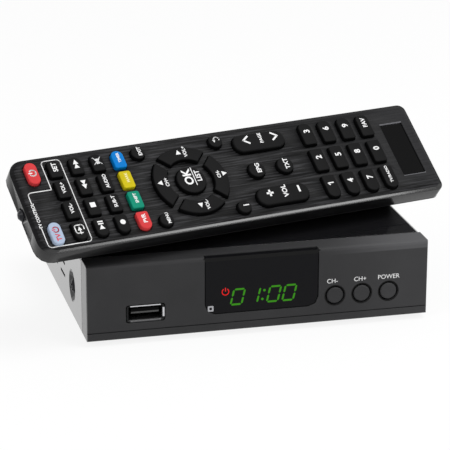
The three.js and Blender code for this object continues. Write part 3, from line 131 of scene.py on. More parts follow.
# Where the panel is painted lighter as a painted sheen, up its slope and to the right, and where its ends get
# a coat. Then the rims of the USB socket that get painted highlights, and the band on its tongue.
PANEL_PAINTED_SHEEN_AND_COAT = {"slope": (28.2, 28.7), "right": (25.0, 64.0), "ends": (0.4, 0.2), "shade": 1.6}
SOCKET_RIM = {"wall": 0.7, "corner": 1.3, "band": 0.9, "fade": 0.15}

# Camera at the photograph's place
CAMERA = {
    "at": (-0.19910, -0.81442, 0.30965),
    "looking": (0.22766, 0.91976, -0.31971),
    "up": (0.07472, 0.31086, 0.94751),
    "lens": 183,
    "sensor": 36,
    "clip": (0.01, 50),
}

# Lamps by place, width and height, and watts, with the point that they face, and half the floor's side
LAMPS = {
    "key_light": ((0.4, -0.25, 1.1), (0.6, 0.6), 7),
    "fill_light": ((-0.9, -0.6, 0.6), (0.5, 0.8), 2.6),
    "edge_light": ((0.64, -0.737, 0.527), (0.44, 0.12), 1.15),
}
LAMP_AIM = (0, 0, 0.03)
FLOOR_REACH = 6.0


def place(origin, right, up):
    """Takes millimetres of a flat or solid drawing to the frame: right, up and out of the drawing."""
    right, up = Vector(right).normalized(), Vector(up).normalized()
    axes = Matrix((right, up, right.cross(up))).transposed().to_4x4()
    return Matrix.Translation(origin) @ axes @ Matrix.Scale(MM, 4)


ALONG = Vector(joints["battery_cover_slide"]["axis"]).normalized()
OUT = -Vector(joints["ok_press"]["axis"]).normalized()
ACROSS = OUT.cross(ALONG)
pivots = Vector(joints["page_tip_hinge"]["pos_m"]) + Vector(joints["volume_tip_hinge"]["pos_m"])
FACE = pivots / 2 - ALONG * PIVOT["along"] * MM + OUT * PIVOT["depth"] * MM
REMOTE = place(FACE, ALONG, ACROSS)

panel_low, panel_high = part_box("front_panel")
PANEL_MIDDLE = (panel_low.x + panel_high.x) / 2
PANEL = place((PANEL_MIDDLE, panel_low.y, panel_low.z), (1, 0, 0), (0, 0, 1))


# Drawing


def circle(radius, across=0.0, up=0.0, steps=CIRCLE_STEPS):
    turn = 2 * math.pi / steps
    return [(across + radius * math.cos(i * turn), up + radius * math.sin(i * turn)) for i in range(steps)]


def rounded(width, height, radius, low_radius=None, steps=CORNER_STEPS):
    """A rectangle round its middle with one radius at its upper corners and one at its lower."""
    points = []
    low_radius = radius if low_radius is None else low_radius
    for quarter, (side, rise) in enumerate(((1, 1), (-1, 1), (-1, -1), (1, -1))):
        corner = radius if rise > 0 else low_radius
        for i in range(steps + 1):
            angle = (quarter + i / steps) * math.pi / 2
            x = side * (width / 2 - corner) + corner * math.cos(angle)
            y = rise * (height / 2 - corner) + corner * math.sin(angle)
            points.append((x, y))
    return points


def moved(outline, across, up):
    return [(x + across, y + up) for x, y in outline]


def turned(outline, quarters):
    cosine, sine = round(math.cos(quarters * math.pi / 2)), round(math.sin(quarters * math.pi / 2))
    return [(x * cosine - y * sine, x * sine + y * cosine) for x, y in outline]


def ribbon(points, width):
    """Outline strips of a drawn line, one four-cornered strip for each stretch."""
    strips = []
    for (x0, y0), (x1, y1) in zip(points, points[1:]):
        length = math.hypot(x1 - x0, y1 - y0)
        if length < MERGE:
            continue
        dx, dy = (x1 - x0) / length * width / 2, (y1 - y0) / length * width / 2
        strips.append([
            (x0 - dx + dy, y0 - dy - dx), (x1 + dx + dy, y1 + dy - dx),
            (x1 + dx - dy, y1 + dy + dx), (x0 - dx - dy, y0 - dy + dx),
        ])
    return strips


def arc(radius, start, end, steps, across=0.0, up=0.0):
    points = []
    for i in range(steps + 1):
        angle = math.radians(start + (end - start) * i / steps)
        points.append((across + radius * math.cos(angle), up + radius * math.sin(angle)))
    return points


class Shape:
    """Corners and faces in millimetres of a drawing."""

    def __init__(self):
        self.corners = []
        self.faces = []

    def add(self, corners, faces):
        start = len(self.corners)
        self.corners += [Vector(corner) for corner in corners]
        self.faces += [[start + i for i in face] for face in faces]
        return self

    def skin(self, rings):
        """Strips between outlines of equal point counts, each with its level."""
        count = len(rings[0][0])
        corners = [(x, y, level) for outline, level in rings for x, y in outline]
        faces = []
        for row in range(len(rings) - 1):
            for i in range(count):
                a, b = row * count + i, row * count + (i + 1) % count
                faces.append((a, b, b + count, a + count))
        return self.add(corners, faces)

    def flat(self, outline, level, holes=()):
        """A flat face with holes, drawn anticlockwise seen from above."""
        loops = [[Vector((x, y, 0)) for x, y in loop] for loop in (outline, *holes)]
        corners = [(point.x, point.y, level) for loop in loops for point in loop]
        faces = []
        for a, b, c in tessellate_polygon(loops):
            ab = Vector(corners[b]) - Vector(corners[a])
            ac = Vector(corners[c]) - Vector(corners[a])
            faces.append((a, b, c) if ab.cross(ac).z > 0 else (a, c, b))
        return self.add(corners, faces)

    def solid(self, rings):
        """A closed skin with a flat face at each end."""
        self.skin(rings)
        self.flat(*rings[0])
        return self.flat(*rings[-1])

    def transform(self, matrix):
        self.corners = [matrix @ corner for corner in self.corners]
        return self

    def move(self, across, up, level=0):
        return self.transform(Matrix.Translation((across, up, level)))


def rolled(outline, level, edge):
    """Rings from the side of a solid over its rounded edge to its upper face."""
    rings = []
    for i in range(EDGE_STEPS + 1):
        angle = math.pi / 2 * i / EDGE_STEPS
        rings.append((outline(-edge * (1 - math.cos(angle))), level - edge * (1 - math.sin(angle))))
    return rings


def linked(name, data):
    """A new object in the scene."""
    made = bpy.data.objects.new(name, data)
    bpy.context.scene.collection.objects.link(made)
    return made


def evaluated_mesh(thing):
    bpy.context.view_layer.update()
    return bpy.data.meshes.new_from_object(thing.evaluated_get(bpy.context.evaluated_depsgraph_get()))


def lettering(text, height, bold=0.03):
    """Flat faces of a word round its middle, as high as its capitals."""
    curve = bpy.data.curves.new("lettering", "FONT")
    curve.body = text
    curve.align_x = "CENTER"
    curve.resolution_u = 3
    curve.offset = bold
    holder = linked("lettering", curve)
    mesh = evaluated_mesh(holder)
    corners = [vertex.co.copy() for vertex in mesh.vertices]
    faces = [list(polygon.vertices) for polygon in mesh.polygons]
    bpy.data.objects.remove(holder)
    bpy.data.curves.remove(curve)
    bpy.data.meshes.remove(mesh)
    shape = Shape().add(corners, faces).move(0, -CAPITAL / 2)
    return shape.transform(Matrix.Scale(height / CAPITAL, 4))


def piece(name, shape, at, finish, body, replaced=(), closed=True):
    mesh = bpy.data.meshes.new(name)
    mesh.from_pydata([at @ corner for corner in shape.corners], [], shape.faces)
    work = bmesh.new()
    work.from_mesh(mesh)
    bmesh.ops.remove_doubles(work, verts=work.verts, dist=MERGE * MM)
    if closed:
        bmesh.ops.recalc_face_normals(work, faces=work.faces)
    work.to_mesh(mesh)
    work.free()
    mesh.shade_smooth()
    mesh.set_sharp_from_angle(angle=SHARP)
    mesh.materials.append(finish)
    made = linked(name, mesh)
    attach(made, body)
    if replaced:
        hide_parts(*replaced)
    return made


# Finishes


class Wire:
    """An output of a node. Sums on it add Math nodes to the same finish."""

    def __init__(self, finish, node, output=0):
        self.finish = finish
        self.node = node
        self.socket = node.outputs[output]

    def __getitem__(self, output):
        return Wire(self.finish, self.node, output)

    def maths(self, operation, first, second):
        return self.finish.node("Math", {0: first, 1: second}, operation=operation)

    def __add__(self, other):
        return self.maths("ADD", self, other)

    __radd__ = __add__

    def __sub__(self, other):
        return self.maths("SUBTRACT", self, other)

    def __rsub__(self, other):
        return self.maths("SUBTRACT", other, self)

    def __mul__(self, other):
        return self.maths("MULTIPLY", self, other)

    __rmul__ = __mul__


class Finish:
    """A material of nodes. Its points are in millimetres."""

    def __init__(self, name):
        self.material = bpy.data.materials.new(name)
        self.material.use_nodes = True
        self.tree = self.material.node_tree
        self.tree.nodes.clear()
        self.point = self.vector("SCALE", self.node("TexCoord")["Object"], Scale=PER_METRE)

    def node(self, kind, inputs=(), **settings):
        made = self.tree.nodes.new("ShaderNode" + kind)
        for name, value in settings.items():
            setattr(made, name, value)
        for name, value in dict(inputs).items():
            if isinstance(value, Wire):
                self.tree.links.new(value.socket, made.inputs[name])
            else:
                made.inputs[name].default_value = value
        return Wire(self, made) if len(made.outputs) else made

    def vector(self, operation, *values, **named):
        return self.node("VectorMath", {**dict(enumerate(values)), **named}, operation=operation)

    def split(self):
        """Places to the right, to the back and up, in millimetres of the frame."""
        parts = self.node("SeparateXYZ", {"Vector": self.point})
        return [parts[axis] for axis in range(3)]

    def noise(self, scale, point=None, detail=2.0, roughness=0.55):
        """Soft noise with this many lumps to the millimetre."""
        at = point or self.point
        return self.node("TexNoise", {"Vector": at, "Scale": scale, "Detail": detail, "Roughness": roughness})

    def step(self, value, low, high):
        """A soft step from zero to one while the value goes from low to high."""
        inputs = {"Value": value, "From Min": low, "From Max": high, "To Min": 0.0, "To Max": 1.0}
        return self.node("MapRange", inputs, interpolation_type="SMOOTHSTEP")

    def between(self, value, low, high):
        """One where the value lies between two places, with soft ends."""
        soft = SOCKET_RIM["fade"]
        return self.step(value, low, low + soft) * self.step(value, high, high - soft)

    def mix(self, share, first, second):
        """A colour between two colours."""
        return self.node("Mix", {0: share, 6: first, 7: second}, data_type="RGBA")[2]

    def tones(self, share, slot, low, high):
        """A colour between two shades of a slot's colour."""
        return self.mix(share, shade(tint[slot], low), shade(tint[slot], high))

    def bump(self, height, depth, normal=None):
        """A normal bent by a height map whose full height is this many millimetres."""
        inputs = {"Height": height, "Distance": depth * MM, "Strength": 1.0}
        if normal:
            inputs["Normal"] = normal
        return self.node("Bump", inputs)

    def soft_edge(self, radius):
        """A normal that rounds the edges of a solid."""
        return self.node("Bevel", {"Radius": radius * MM}, samples=4)

    def surface(self, colour, roughness, **inputs):
        sockets = {"Base Color": colour, "Roughness": roughness}
        for name, value in inputs.items():
            sockets[name.replace("_", " ").title().replace("Ior", "IOR")] = value
        self.node("OutputMaterial", {"Surface": self.node("BsdfPrincipled", sockets)})
        return self.material


def shade(colour, factor):
    return (*(channel * factor for channel in colour[:3]), 1.0)


def gloss_cover():
    """Gloss paint with faint wipe marks."""
    finish = Finish("gloss_cover")
    wipe = finish.vector("MULTIPLY", finish.point, (0.4, 1.6, 1.6))
    haze = finish.step(finish.noise(0.12, wipe, detail=4.0), 0.45, 0.75)
    peel = finish.noise(1.4, detail=1.0)
    normal = finish.bump(peel, 0.0025, normal=finish.soft_edge(0.5))
    return finish.surface(tint["gloss_cover"], haze * 0.05 + 0.07, coat_weight=0.5, coat_roughness=0.03,
                          specular_ior_level=0.35, normal=normal)


def panel_plastic():
    """Spark-eroded matt plastic with a painted sheen, lighter up its slope and towards the right, and a coat
    on its end walls.
    """
    finish = Finish("panel_plastic")
    grain = finish.noise(4.5)
    colour = finish.tones(finish.noise(0.08), "panel_plastic", 0.5, 0.7)
    right, _, up = finish.split()
    # Painted sheen: the colour is painted lighter up the top slope and towards the right end.
    slope = finish.step(up, *PANEL_PAINTED_SHEEN_AND_COAT["slope"])
    sheen = finish.step(right, *PANEL_PAINTED_SHEEN_AND_COAT["right"])
    light = shade(tint["panel_plastic"], PANEL_PAINTED_SHEEN_AND_COAT["shade"])
    colour = finish.mix(sheen * (slope * 0.8 + 0.2), colour, light)
    normal = finish.bump(grain, 0.012, normal=finish.soft_edge(0.45))
    edge = (panel_high.x - panel_low.x) / 2 * PER_METRE
    away = finish.node("Math", {0: right - PANEL_MIDDLE * PER_METRE}, operation="ABSOLUTE")
    end_coat = finish.step(away, *(edge - inset for inset in PANEL_PAINTED_SHEEN_AND_COAT["ends"]))
    return finish.surface(colour, grain * 0.16 + 0.42, coat_weight=end_coat, coat_roughness=0.3,
                          specular_ior_level=0.15, normal=normal)


def smoked_window(name="smoked_window", depth=0.45):
    """Polished smoked plastic over a dark module."""
    finish = Finish(name)
    dust = finish.step(finish.noise(2.2), 0.6, 0.8)
    colour = finish.tones(dust * 0.35, "smoked_window", depth, depth * 1.6)
    return finish.surface(colour, dust * 0.05 + 0.09, specular_ior_level=0.08, normal=finish.soft_edge(0.2))


def painted_tray():
    finish = Finish("painted_tray")
    grain = finish.noise(2.6, detail=3.0)
    normal = finish.bump(grain, 0.015, normal=finish.soft_edge(0.3))
    return finish.surface(tint["tray_metal"], grain * 0.2 + 0.38, normal=normal)


def moulded(slot, grain_scale=3.0, grain_depth=0.01, rough=0.5):
    """Plain moulded plastic or rubber with a fine skin."""
    finish = Finish(slot)
    grain = finish.noise(grain_scale)
    colour = finish.tones(finish.noise(0.25), slot, 0.88, 1.12)
    return finish.surface(
        colour, grain * 0.15 + rough, specular_ior_level=0.25, normal=finish.bump(grain, grain_depth))


def remote_point(finish):
    """Places along, across and out of the remote's face, in millimetres."""
    offset = finish.vector("SUBTRACT", finish.point, tuple(FACE * PER_METRE))
    return [finish.vector("DOT_PRODUCT", offset, tuple(axis))["Value"] for axis in (ALONG, ACROSS, OUT)]


def remote_casing():
    """Plastic with long brushed grooves that fade out round the number keys, painted lighter towards the
    tail, with painted highlights on the rims at both ends of the sunk plate.
    """
    finish = Finish("remote_casing")
    along, across, out = remote_point(finish)
    plain = tint["remote_casing"]

    def streaks(kind, level, start=0.0, **look):
        scale_along, scale_across = STREAKS[kind]
        point = {0: along * scale_along + start, 1: across * scale_across, 2: level}
        return finish.noise(1.0, finish.node("CombineXYZ", point), **look)

    def change(value, kind):
        return finish.step(value, *CHANGES[kind])

    deep = out * STREAKS["out"]
    lines = streaks("fine", deep, detail=3.0, roughness=0.6)
    bands = streaks("wide", deep, start=7.0)
    patches = finish.step(streaks("patches", 3.0), 0.2, 0.45)
    pad = change(along, "number_keys") * change(across, "near_margin")
    shown = patches * (1.0 - pad * 0.75)
    dark = finish.step(lines, 0.48, 0.43) * shown
    light = finish.step(lines, 0.54, 0.59) * shown
    base = finish.tones(bands, "remote_casing", 0.2, 0.45)
    # Painted sheen: the face is painted lighter towards the tail.
    base = finish.mix(change(along, "tail"), base, shade(plain, 0.75))
    colour = finish.mix(dark * 0.95, base, shade(plain, 0.04))
    colour = finish.mix(light * 0.7, colour, shade(plain, 1.4))
    side = change(out, "side")
    colour = finish.mix(side * 0.85, colour, shade(plain, 0.2))
    # Painted highlight on the rims at both ends of the sunk plate.
    colour = finish.mix(plate_rim_highlights(finish, along, across) * 0.6, colour, shade(plain, 9.0))
    grain = finish.noise(3.0)
    normal = finish.bump(lines * shown * (1.0 - side), 0.04)
    normal = finish.bump(grain, 0.006, normal=normal)
    walls = change(out, "walls")
    polish = side * change(across, "near_slope") * (1.0 - walls) + walls * 0.7
    return finish.surface(colour, grain * 0.1 + 0.34, coat_weight=polish, coat_roughness=0.09,
                          specular_ior_level=0.07, normal=normal)


def plate_rim_highlights(finish, along, across):
    """One on the rims at both ends of the sunk plate, where a highlight is painted."""
    half_length, half_width = PLATE["length"] / 2, PLATE["width"] / 2
    inner_fade, outer_fade, side_fade = PLATE["fades"]
    rim_end = (half_width + PLATE["lit_rim"]) ** 2
    past = along - PLATE["along"]
    inner = finish.step(across * across, half_width ** 2 - inner_fade, half_width ** 2)
    outer = finish.step(across * across, rim_end, rim_end + outer_fade)
    return (inner - outer) * finish.step(past * past, half_length ** 2 + side_fade, half_length ** 2)


def key_rubber(slot, depth=0.78):
    """Matt silicone."""
    finish = Finish(slot)
    grain = finish.noise(5.0)
    colour = finish.tones(finish.noise(0.35), slot, depth * 0.85, depth * 1.1)
    return finish.surface(
        colour, grain * 0.12 + 0.5, specular_ior_level=0.08, normal=finish.bump(grain, 0.008))


def metal(slot, rough, brush=(1.0, 1.0, 1.0), depth=0.004, shine=1.0):
    finish = Finish(slot)
    hair = finish.noise(2.0, finish.vector("MULTIPLY", finish.point, brush), detail=3.0)
    colour = finish.tones(finish.noise(0.3), slot, shine * 0.85, shine * 1.12)
    normal = finish.bump(hair, depth, normal=finish.soft_edge(0.15))
    return finish.surface(colour, hair * 0.14 + rough, metallic=1.0, normal=normal)


def socket_metal():
    """Plated sheet painted dark as a painted reflection, with painted highlights on its upper and right rims
    and a faint one on its lower rim.
    """
    finish = Finish("socket_metal")
    low, high = (corner * PER_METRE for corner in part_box("usb_socket_shell"))
    right, back, up = finish.split()
    wall, corner = SOCKET_RIM["wall"], SOCKET_RIM["corner"]
    front = finish.step(back, low.y + wall / 2, low.y + wall / 4)
    across = finish.between(right, low.x + corner, high.x - corner) * front
    level = finish.between(up, low.z + corner, high.z - corner)
    upper = finish.step(up, high.z - wall, high.z - wall * 0.8) * across
    lower = finish.step(up, low.z + wall, low.z + wall * 0.8) * across
    side = finish.step(right, high.x - wall, high.x - wall * 0.8) * level
    # Painted highlights: full on the upper and right rims, faint on the lower one; elsewhere the sheet is
    # painted dark.
    painted_highlight_share = upper + lower * 0.12 + side
    grain = finish.noise(2.0, detail=3.0)
    colour = finish.tones(painted_highlight_share, "plated_metal", 0.02, 1.0)
    return finish.surface(colour, grain * 0.1 + 0.2, metallic=painted_highlight_share, specular_ior_level=0.1)


def socket_tongue():
    """Black plastic with a lighter band on its front."""
    finish = Finish("socket_tongue")
    low, high = (corner.z * PER_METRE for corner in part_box("usb_contact_tongue"))
    middle, half_band = (low + high) / 2, SOCKET_RIM["band"] / 2
    band = finish.between(finish.split()[2], middle - half_band, middle + half_band)
    grain = finish.noise(2.0, detail=3.0)
    colour = finish.mix(band, shade(tint["black_package"], 0.1), (0.09, 0.09, 0.09, 1.0))
    return finish.surface(colour, grain * 0.1 + 0.5, specular_ior_level=0.05)


def circuit_board():
    """Solder mask with faint copper tracks under it."""
    finish = Finish("circuit_board")
    black, white = (0, 0, 0, 1), (1, 1, 1, 1)
    tracks = finish.node("TexBrick", {
        "Vector": finish.point, "Scale": 0.12, "Mortar Size": 0.04, "Color1": black, "Color2": black,
        "Mortar": white}, offset=0.37)["Fac"]
    colour = finish.tones(tracks, "circuit_board", 1.0, 1.9)
    return finish.surface(colour, finish.noise(1.0) * 0.1 + 0.3, normal=finish.bump(tracks, 0.02))


def clear_plastic(slot, depth=1.0, coat=0.5):
    finish = Finish(slot)
    swirl = finish.noise(0.8)
    colour = finish.tones(swirl, slot, depth * 0.8, depth * 1.15)
    return finish.surface(colour, swirl * 0.05 + 0.08, coat_weight=coat, specular_ior_level=coat)


def cell_sleeve():
    """Shrink sleeve in a plain colour with a metal-like sheen."""
    finish = Finish("cell_sleeve")
    swirl = finish.noise(0.4, detail=3.0)
    colour = finish.tones(swirl, "cell_sleeve", 0.8, 1.2)
    return finish.surface(colour, swirl * 0.1 + 0.25, metallic=0.3, coat_weight=0.4)


def ink(name, colour):
    """Screen-printed ink, a little uneven; its black stands for painted shade."""
    finish = Finish(name)
    wear = finish.noise(2.5, detail=3.0)
    colour = finish.mix(wear, shade(colour, 0.9), colour)
    return finish.surface(colour, wear * 0.2 + 0.45, specular_ior_level=0.15)


def lit(name, colour):
    """Segments that shine by themselves."""
    finish = Finish(name)
    grain = finish.noise(3.0, detail=1.0)
    light = finish.mix(grain, shade(colour, 0.9), colour)
    return finish.surface(
        shade(colour, 0.1), 0.4, specular_ior_level=0.1, emission_color=light, emission_strength=1.0)


finishes = {
    "tray_metal": painted_tray(),
    "gloss_cover": gloss_cover(),
    "panel_plastic": panel_plastic(),
    "smoked_window": smoked_window(),
    "black_package": moulded("black_package", grain_scale=2.0),
    "red_lens": clear_plastic("red_lens"),
    "circuit_board": circuit_board(),
    "plated_metal": metal("plated_metal", 0.16, depth=0.003, shine=0.5),
    "bare_aluminium": metal("bare_aluminium", 0.3, brush=(0.2, 3.0, 3.0), depth=0.01),
    "tinned_metal": metal("tinned_metal", 0.28),
    "black_screw": metal("black_screw", 0.35),
    "foot_rubber": moulded("foot_rubber", grain_depth=0.03, rough=0.7),
    "remote_casing": remote_casing(),
    "remote_back": moulded("remote_back", grain_scale=2.4, grain_depth=0.025, rough=0.4),
    "key_rubber": key_rubber("key_rubber", depth=0.18),
    "clear_lamp": clear_plastic("clear_lamp", depth=0.03, coat=0.15),
    "cell_sleeve": cell_sleeve(),
    "yellow_rubber": key_rubber("yellow_rubber", depth=0.62),
    **{slot: key_rubber(slot) for slot in ("red_rubber", "pale_rubber", "blue_rubber", "green_rubber")},
}
white_ink = ink("white_ink", (0.82, 0.82, 0.82, 1.0))
red_ink = ink("red_ink", (0.6, 0.03, 0.05, 1.0))
grey_ink = ink("grey_ink", (0.4, 0.4, 0.42, 1.0))
pale_ink = ink("pale_ink", (0.82, 0.76, 0.4, 1.0))
# Black painted as shade on the window and round the buttons, not print.
painted_shade_black = ink("painted_shade_black", (0.003, 0.003, 0.003, 1.0))
green_light = lit("green_light", (0.035, 0.23, 0.006, 1.0))
red_light = lit("red_light", (0.7, 0.02, 0.02, 1.0))

own_finish = {"usb_socket_shell": socket_metal(), "usb_contact_tongue": socket_tongue()}
for entry in frame["record"]["subparts"]:
    for material_slot in nodes[entry["node"]].material_slots:
        material_slot.material = own_finish.get(entry["node"], finishes[entry["material_slot"]])


# Remote control


def casing(inset):
    """The casing's outline, with wide corners at its head and tight ones at its tail."""
    width, length = CASING["width"] - 2 * inset, CASING["length"] - 2 * inset
    return turned(rounded(width, length, CASING["head"], CASING["tail"]), 1)


def casing_edge():
    """Rings from the casing's side over a flat slope to its face."""
    inset, drop = EDGE["middle"]
    rings = []
    for i in range(EDGE["steps"] + 1):
        angle = math.pi / 2 * i / EDGE["steps"]
        level = (EDGE["side"] - drop) * math.sin(angle) - EDGE["side"]
        rings.append((casing(inset * (1 - math.cos(angle))), level))
    for share in (1 - EDGE["hold"], EDGE["hold"], 0):
        rings.append((casing(EDGE["width"] - (EDGE["width"] - inset) * share), -drop * share))
    return rings


def block(width, height, far, near):
    """A rounded outline as a function of how far it grows."""
    return lambda grow: rounded(width + 2 * grow, height + 2 * grow, far + grow, near + grow)


def block_key(size, far, near):
    return block(size["width"], size["length"], size[far], size[near])


def at(outline, along, across):
    return lambda grow: moved(outline(grow), along, across)


def arrow(quarter):
    """A quarter of a ring whose ends are cut parallel to the diagonals."""
    def outline(grow):
        outer, inner = PAD["outer"] + grow, PAD["inner"] - grow
        half_gap = PAD["gap"] / 2 - grow
        points = []
        for radius, way in ((outer, 1), (inner, -1)):
            span = math.degrees(math.pi / 4 - math.asin(half_gap / radius)) * way
            points += arc(radius, 90 * quarter - span, 90 * quarter + span, PAD["steps"], PAD["along"])
        return points
    return outline


def upper_row(row):
    return ((UPPER["rows"] - 1) / 2 - row) * UPPER["row_pitch"]


def upper_column(column):
    return UPPER["first"] + column * UPPER["pitch"]


def number_column(column):
    return NUMBERS["first"] + column * NUMBERS["pitch"]


def round_key(radius):
    return lambda grow: circle(radius + grow)


def mat_keys():
    """The keys that stand on the rubber mat."""
    keys = []
    for column in range(UPPER["columns"] - 1):
        for row in range(UPPER["rows"]):
            far = "end" if row == 0 else "corner"
            near = "end" if row == UPPER["rows"] - 1 else "corner"
            keys.append(at(block_key(BLOCK_KEY, far, near), upper_column(column), upper_row(row)))
    for end in (-1, 1):
        for side in (-1, 1):
            small_at = PAD["along"] + end * SMALL["along"]
            keys.append(at(round_key(SMALL["radius"]), small_at, side * SMALL["across"]))
        keys.append(at(round_key(MIDDLE["radius"]), MIDDLE["along"] + end * MIDDLE["spread"], 0))
    for column in range(NUMBERS["columns"]):
        for row, (far, near) in enumerate((("end", "corner"), ("corner", "corner"), ("corner", "end"))):
            across = (1 - row) * NUMBERS["row_pitch"]
            keys.append(at(block_key(NUMBER_KEY, far, near), number_column(column), across))
    return keys


def lone_keys():
    """The keys with a body of their own: name, slot and outline."""
    last = upper_column(UPPER["columns"] - 1)
    power = block_key(POWER_KEY, "end", "end")
    middle = block_key(BLOCK_KEY, "corner", "corner")
    keys = [
        ("remote_power", "red_rubber", at(power, POWER_KEY["along"], POWER_KEY["across"])),
        ("tv_power", "pale_rubber", at(power, POWER_KEY["along"], -POWER_KEY["across"])),
        ("blue", "blue_rubber", at(block_key(BLOCK_KEY, "end", "corner"), last, upper_row(0))),
        ("yellow", "yellow_rubber", at(middle, last, upper_row(1))),
        ("green", "green_rubber", at(middle, last, upper_row(2))),
        ("red", "red_rubber", at(block_key(BLOCK_KEY, "corner", "end"), last, upper_row(3))),
        ("ok", "key_rubber", at(round_key(PAD["ok"]), PAD["along"], 0)),
    ]
    for quarter, name in enumerate(("down", "right", "up", "left")):
        keys.append((name, "key_rubber", arrow(quarter)))
    return keys


rocker = block(ROCKER["length"], ROCKER["width"], ROCKER["radius"], ROCKER["radius"])
rockers = {name: at(rocker, MIDDLE["along"], side * ROCKER["across"])
           for name, side in (("page", 1), ("volume", -1))}


def plate(grow=0.0, corner=PLATE["radius"]):
    """The sunk plate's outline."""
    length, width = PLATE["length"] + 2 * grow, PLATE["width"] + 2 * grow
    return moved(rounded(length, width, corner), PLATE["along"], 0)


def remote_face():
    """The upper shell with a sloped edge, key holes with softened rims and a sunk plate."""
    keys = [*mat_keys(), *(outline for _, _, outline in lone_keys()), *rockers.values()]
    wall, rim, slack = CASING["wall"], HOLE_RIM, KEY["slack"]
    plate_rim = plate(rim, PLATE["radius"] + rim)
    shape = Shape()
    shape.skin([(casing(wall), -wall), (casing(wall), -CASING["height"]), (casing(0), -CASING["height"]),
                *casing_edge()])
    shape.flat(casing(EDGE["width"]), 0, [*(key(slack + rim) for key in keys), plate_rim])
    shape.flat(casing(wall), -wall, [key(slack) for key in keys])
    for key in keys:
        shape.skin([(key(slack), -wall), (key(slack), -rim), (key(slack + rim * 0.3), -rim * 0.3),
                    (key(slack + rim), 0)])
    shape.skin([(plate(), -PLATE["depth"]), (plate(), -rim), (plate_rim, 0)])
    shape.flat(plate(), -PLATE["depth"])
    made = piece("remote_face", shape, REMOTE, finishes["remote_casing"], "remote",
                 ["remote_top_shell"])
    carve(made, beam_bore())


def beam_bore():
    """The round hole for the infrared lamp in the end wall."""
    wall, round_edge = CASING["wall"], circle(BEAM["radius"] + CLEARANCE)
    bore = Shape().solid([(round_edge, -wall), (round_edge, 3 * wall)])
    return bore.transform(Matrix.Rotation(math.pi / 2, 4, "Y")).move(-CASING["length"] / 2, 0, BEAM["level"])


def carve(made, tool_shape):
    """Cuts a tool out of a piece on the remote."""
    tool = piece("tool", tool_shape, REMOTE, made.data.materials[0], "remote")
    cut = made.modifiers.new("cut", "BOOLEAN")
    cut.object = tool
    cut.solver = "EXACT"
    mesh = evaluated_mesh(made)
    made.modifiers.remove(cut)
    old = made.data
    made.data = mesh
    mesh.name = made.name
    bpy.data.meshes.remove(old)
    tool_mesh = tool.data
    bpy.data.objects.remove(tool)
    bpy.data.meshes.remove(tool_mesh)


MAT_TOP = -(CASING["wall"] + CLEARANCE)
KEY_UNDER = MAT_TOP - KEY["flange"]


def key_mat():
    """The rubber mat with the black keys that stand on it."""
    shape = Shape()
    edge = casing(-MAT_TOP)
    grown = KEY["reach"] + CLEARANCE
    coloured = [outline(grown) for _, slot, outline in lone_keys() if slot != "key_rubber"]
    openings = [*coloured, circle(PAD["outer"] + grown, PAD["along"]),
                *(outline(grown) for outline in rockers.values())]
    for level in (MAT_TOP, KEY_UNDER):
        shape.flat(edge, level, openings)
    for outline in (edge, *openings):
        shape.skin([(outline, KEY_UNDER), (outline, MAT_TOP)])
    for key in mat_keys():
        shape.solid([(key(0), MAT_TOP - CLEARANCE), *rolled(key, KEY["proud"], KEY["edge"])])
    piece("key_mat", shape, REMOTE, finishes["key_rubber"], "remote", ["remote_keypad"])


def lone_key(name, slot, outline):
    """A key with its plunger, its flange under the shell and a rolled edge."""
    small, wide = outline(-KEY["inset"]), outline(KEY["slack"])
    shape = Shape().solid([
        (small, KEY_UNDER - KEY["plunger"]), (small, KEY_UNDER), (wide, KEY_UNDER), (wide, MAT_TOP),
        (outline(0), MAT_TOP), *rolled(outline, KEY["proud"], KEY["edge"]),
    ])
    piece(f"{name}_key_cap", shape, REMOTE, finishes[slot], f"{name}_push", [f"{name}_key"])


def rocker_cap(name, outline):
    """A rocker's cap, rolled at its upper and lower edges."""
    under = reversed(rolled(outline, KEY_UNDER, KEY["edge"]))
    shape = Shape().solid([*((ring, 2 * KEY_UNDER - level) for ring, level in under),
                           *rolled(outline, KEY["proud"], 1.6 * KEY["edge"])])
    piece(f"{name}_rocker_cap", shape, REMOTE, finishes["key_rubber"], f"{name}_tip",
          [f"{name}_rocker"])


remote_face()
key_mat()
for key in lone_keys():
    lone_key(*key)
for name, outline in rockers.items():
    rocker_cap(name, outline)


# Print on the remote control


def joined(shapes):
    whole = Shape()
    for shape in shapes:
        whole.add(shape.corners, shape.faces)
    return whole


def flats(outlines):
    return [Shape().flat(outline, 0) for outline in outlines]


def printed(name, shapes, body, finish=white_ink, shift=(0, 0), level=KEY["proud"]):
    """Print whose words run across the remote and whose tops face its power end."""
    lift = Matrix.Translation((*shift, level + LIFT))
    piece(name, joined(shapes), REMOTE @ lift, finish, body, closed=False)


def word(text, along, across, height=WORD):
    return lettering(text, height).transform(Matrix.Rotation(math.pi / 2, 4, "Z")).move(along, across)


def sign(outlines, along, across):
    """Flat outlines drawn upright, set on the remote the way its words are."""
    return joined(flats(moved(turned(outline, 1), along, across) for outline in outlines))


def triangle(size, across=0.0, up=0.0, quarters=0):
    """A triangle that points right, turned by quarters."""
    outline = [(-0.45 * size, -0.5 * size), (0.5 * size, 0), (-0.45 * size, 0.5 * size)]
    return moved(turned(outline, quarters), across, up)


def bar(width, height, across=0.0, up=0.0):
    half, rise = width / 2, height / 2
    return moved([(-half, -rise), (half, -rise), (half, rise), (-half, rise)], across, up)


def power_sign(radius, stroke):
    """An open ring with a bar in its gap."""
    return [*ribbon(arc(radius, 130, 410, 20), stroke), bar(stroke, radius * 1.2, 0, radius * 0.7)]


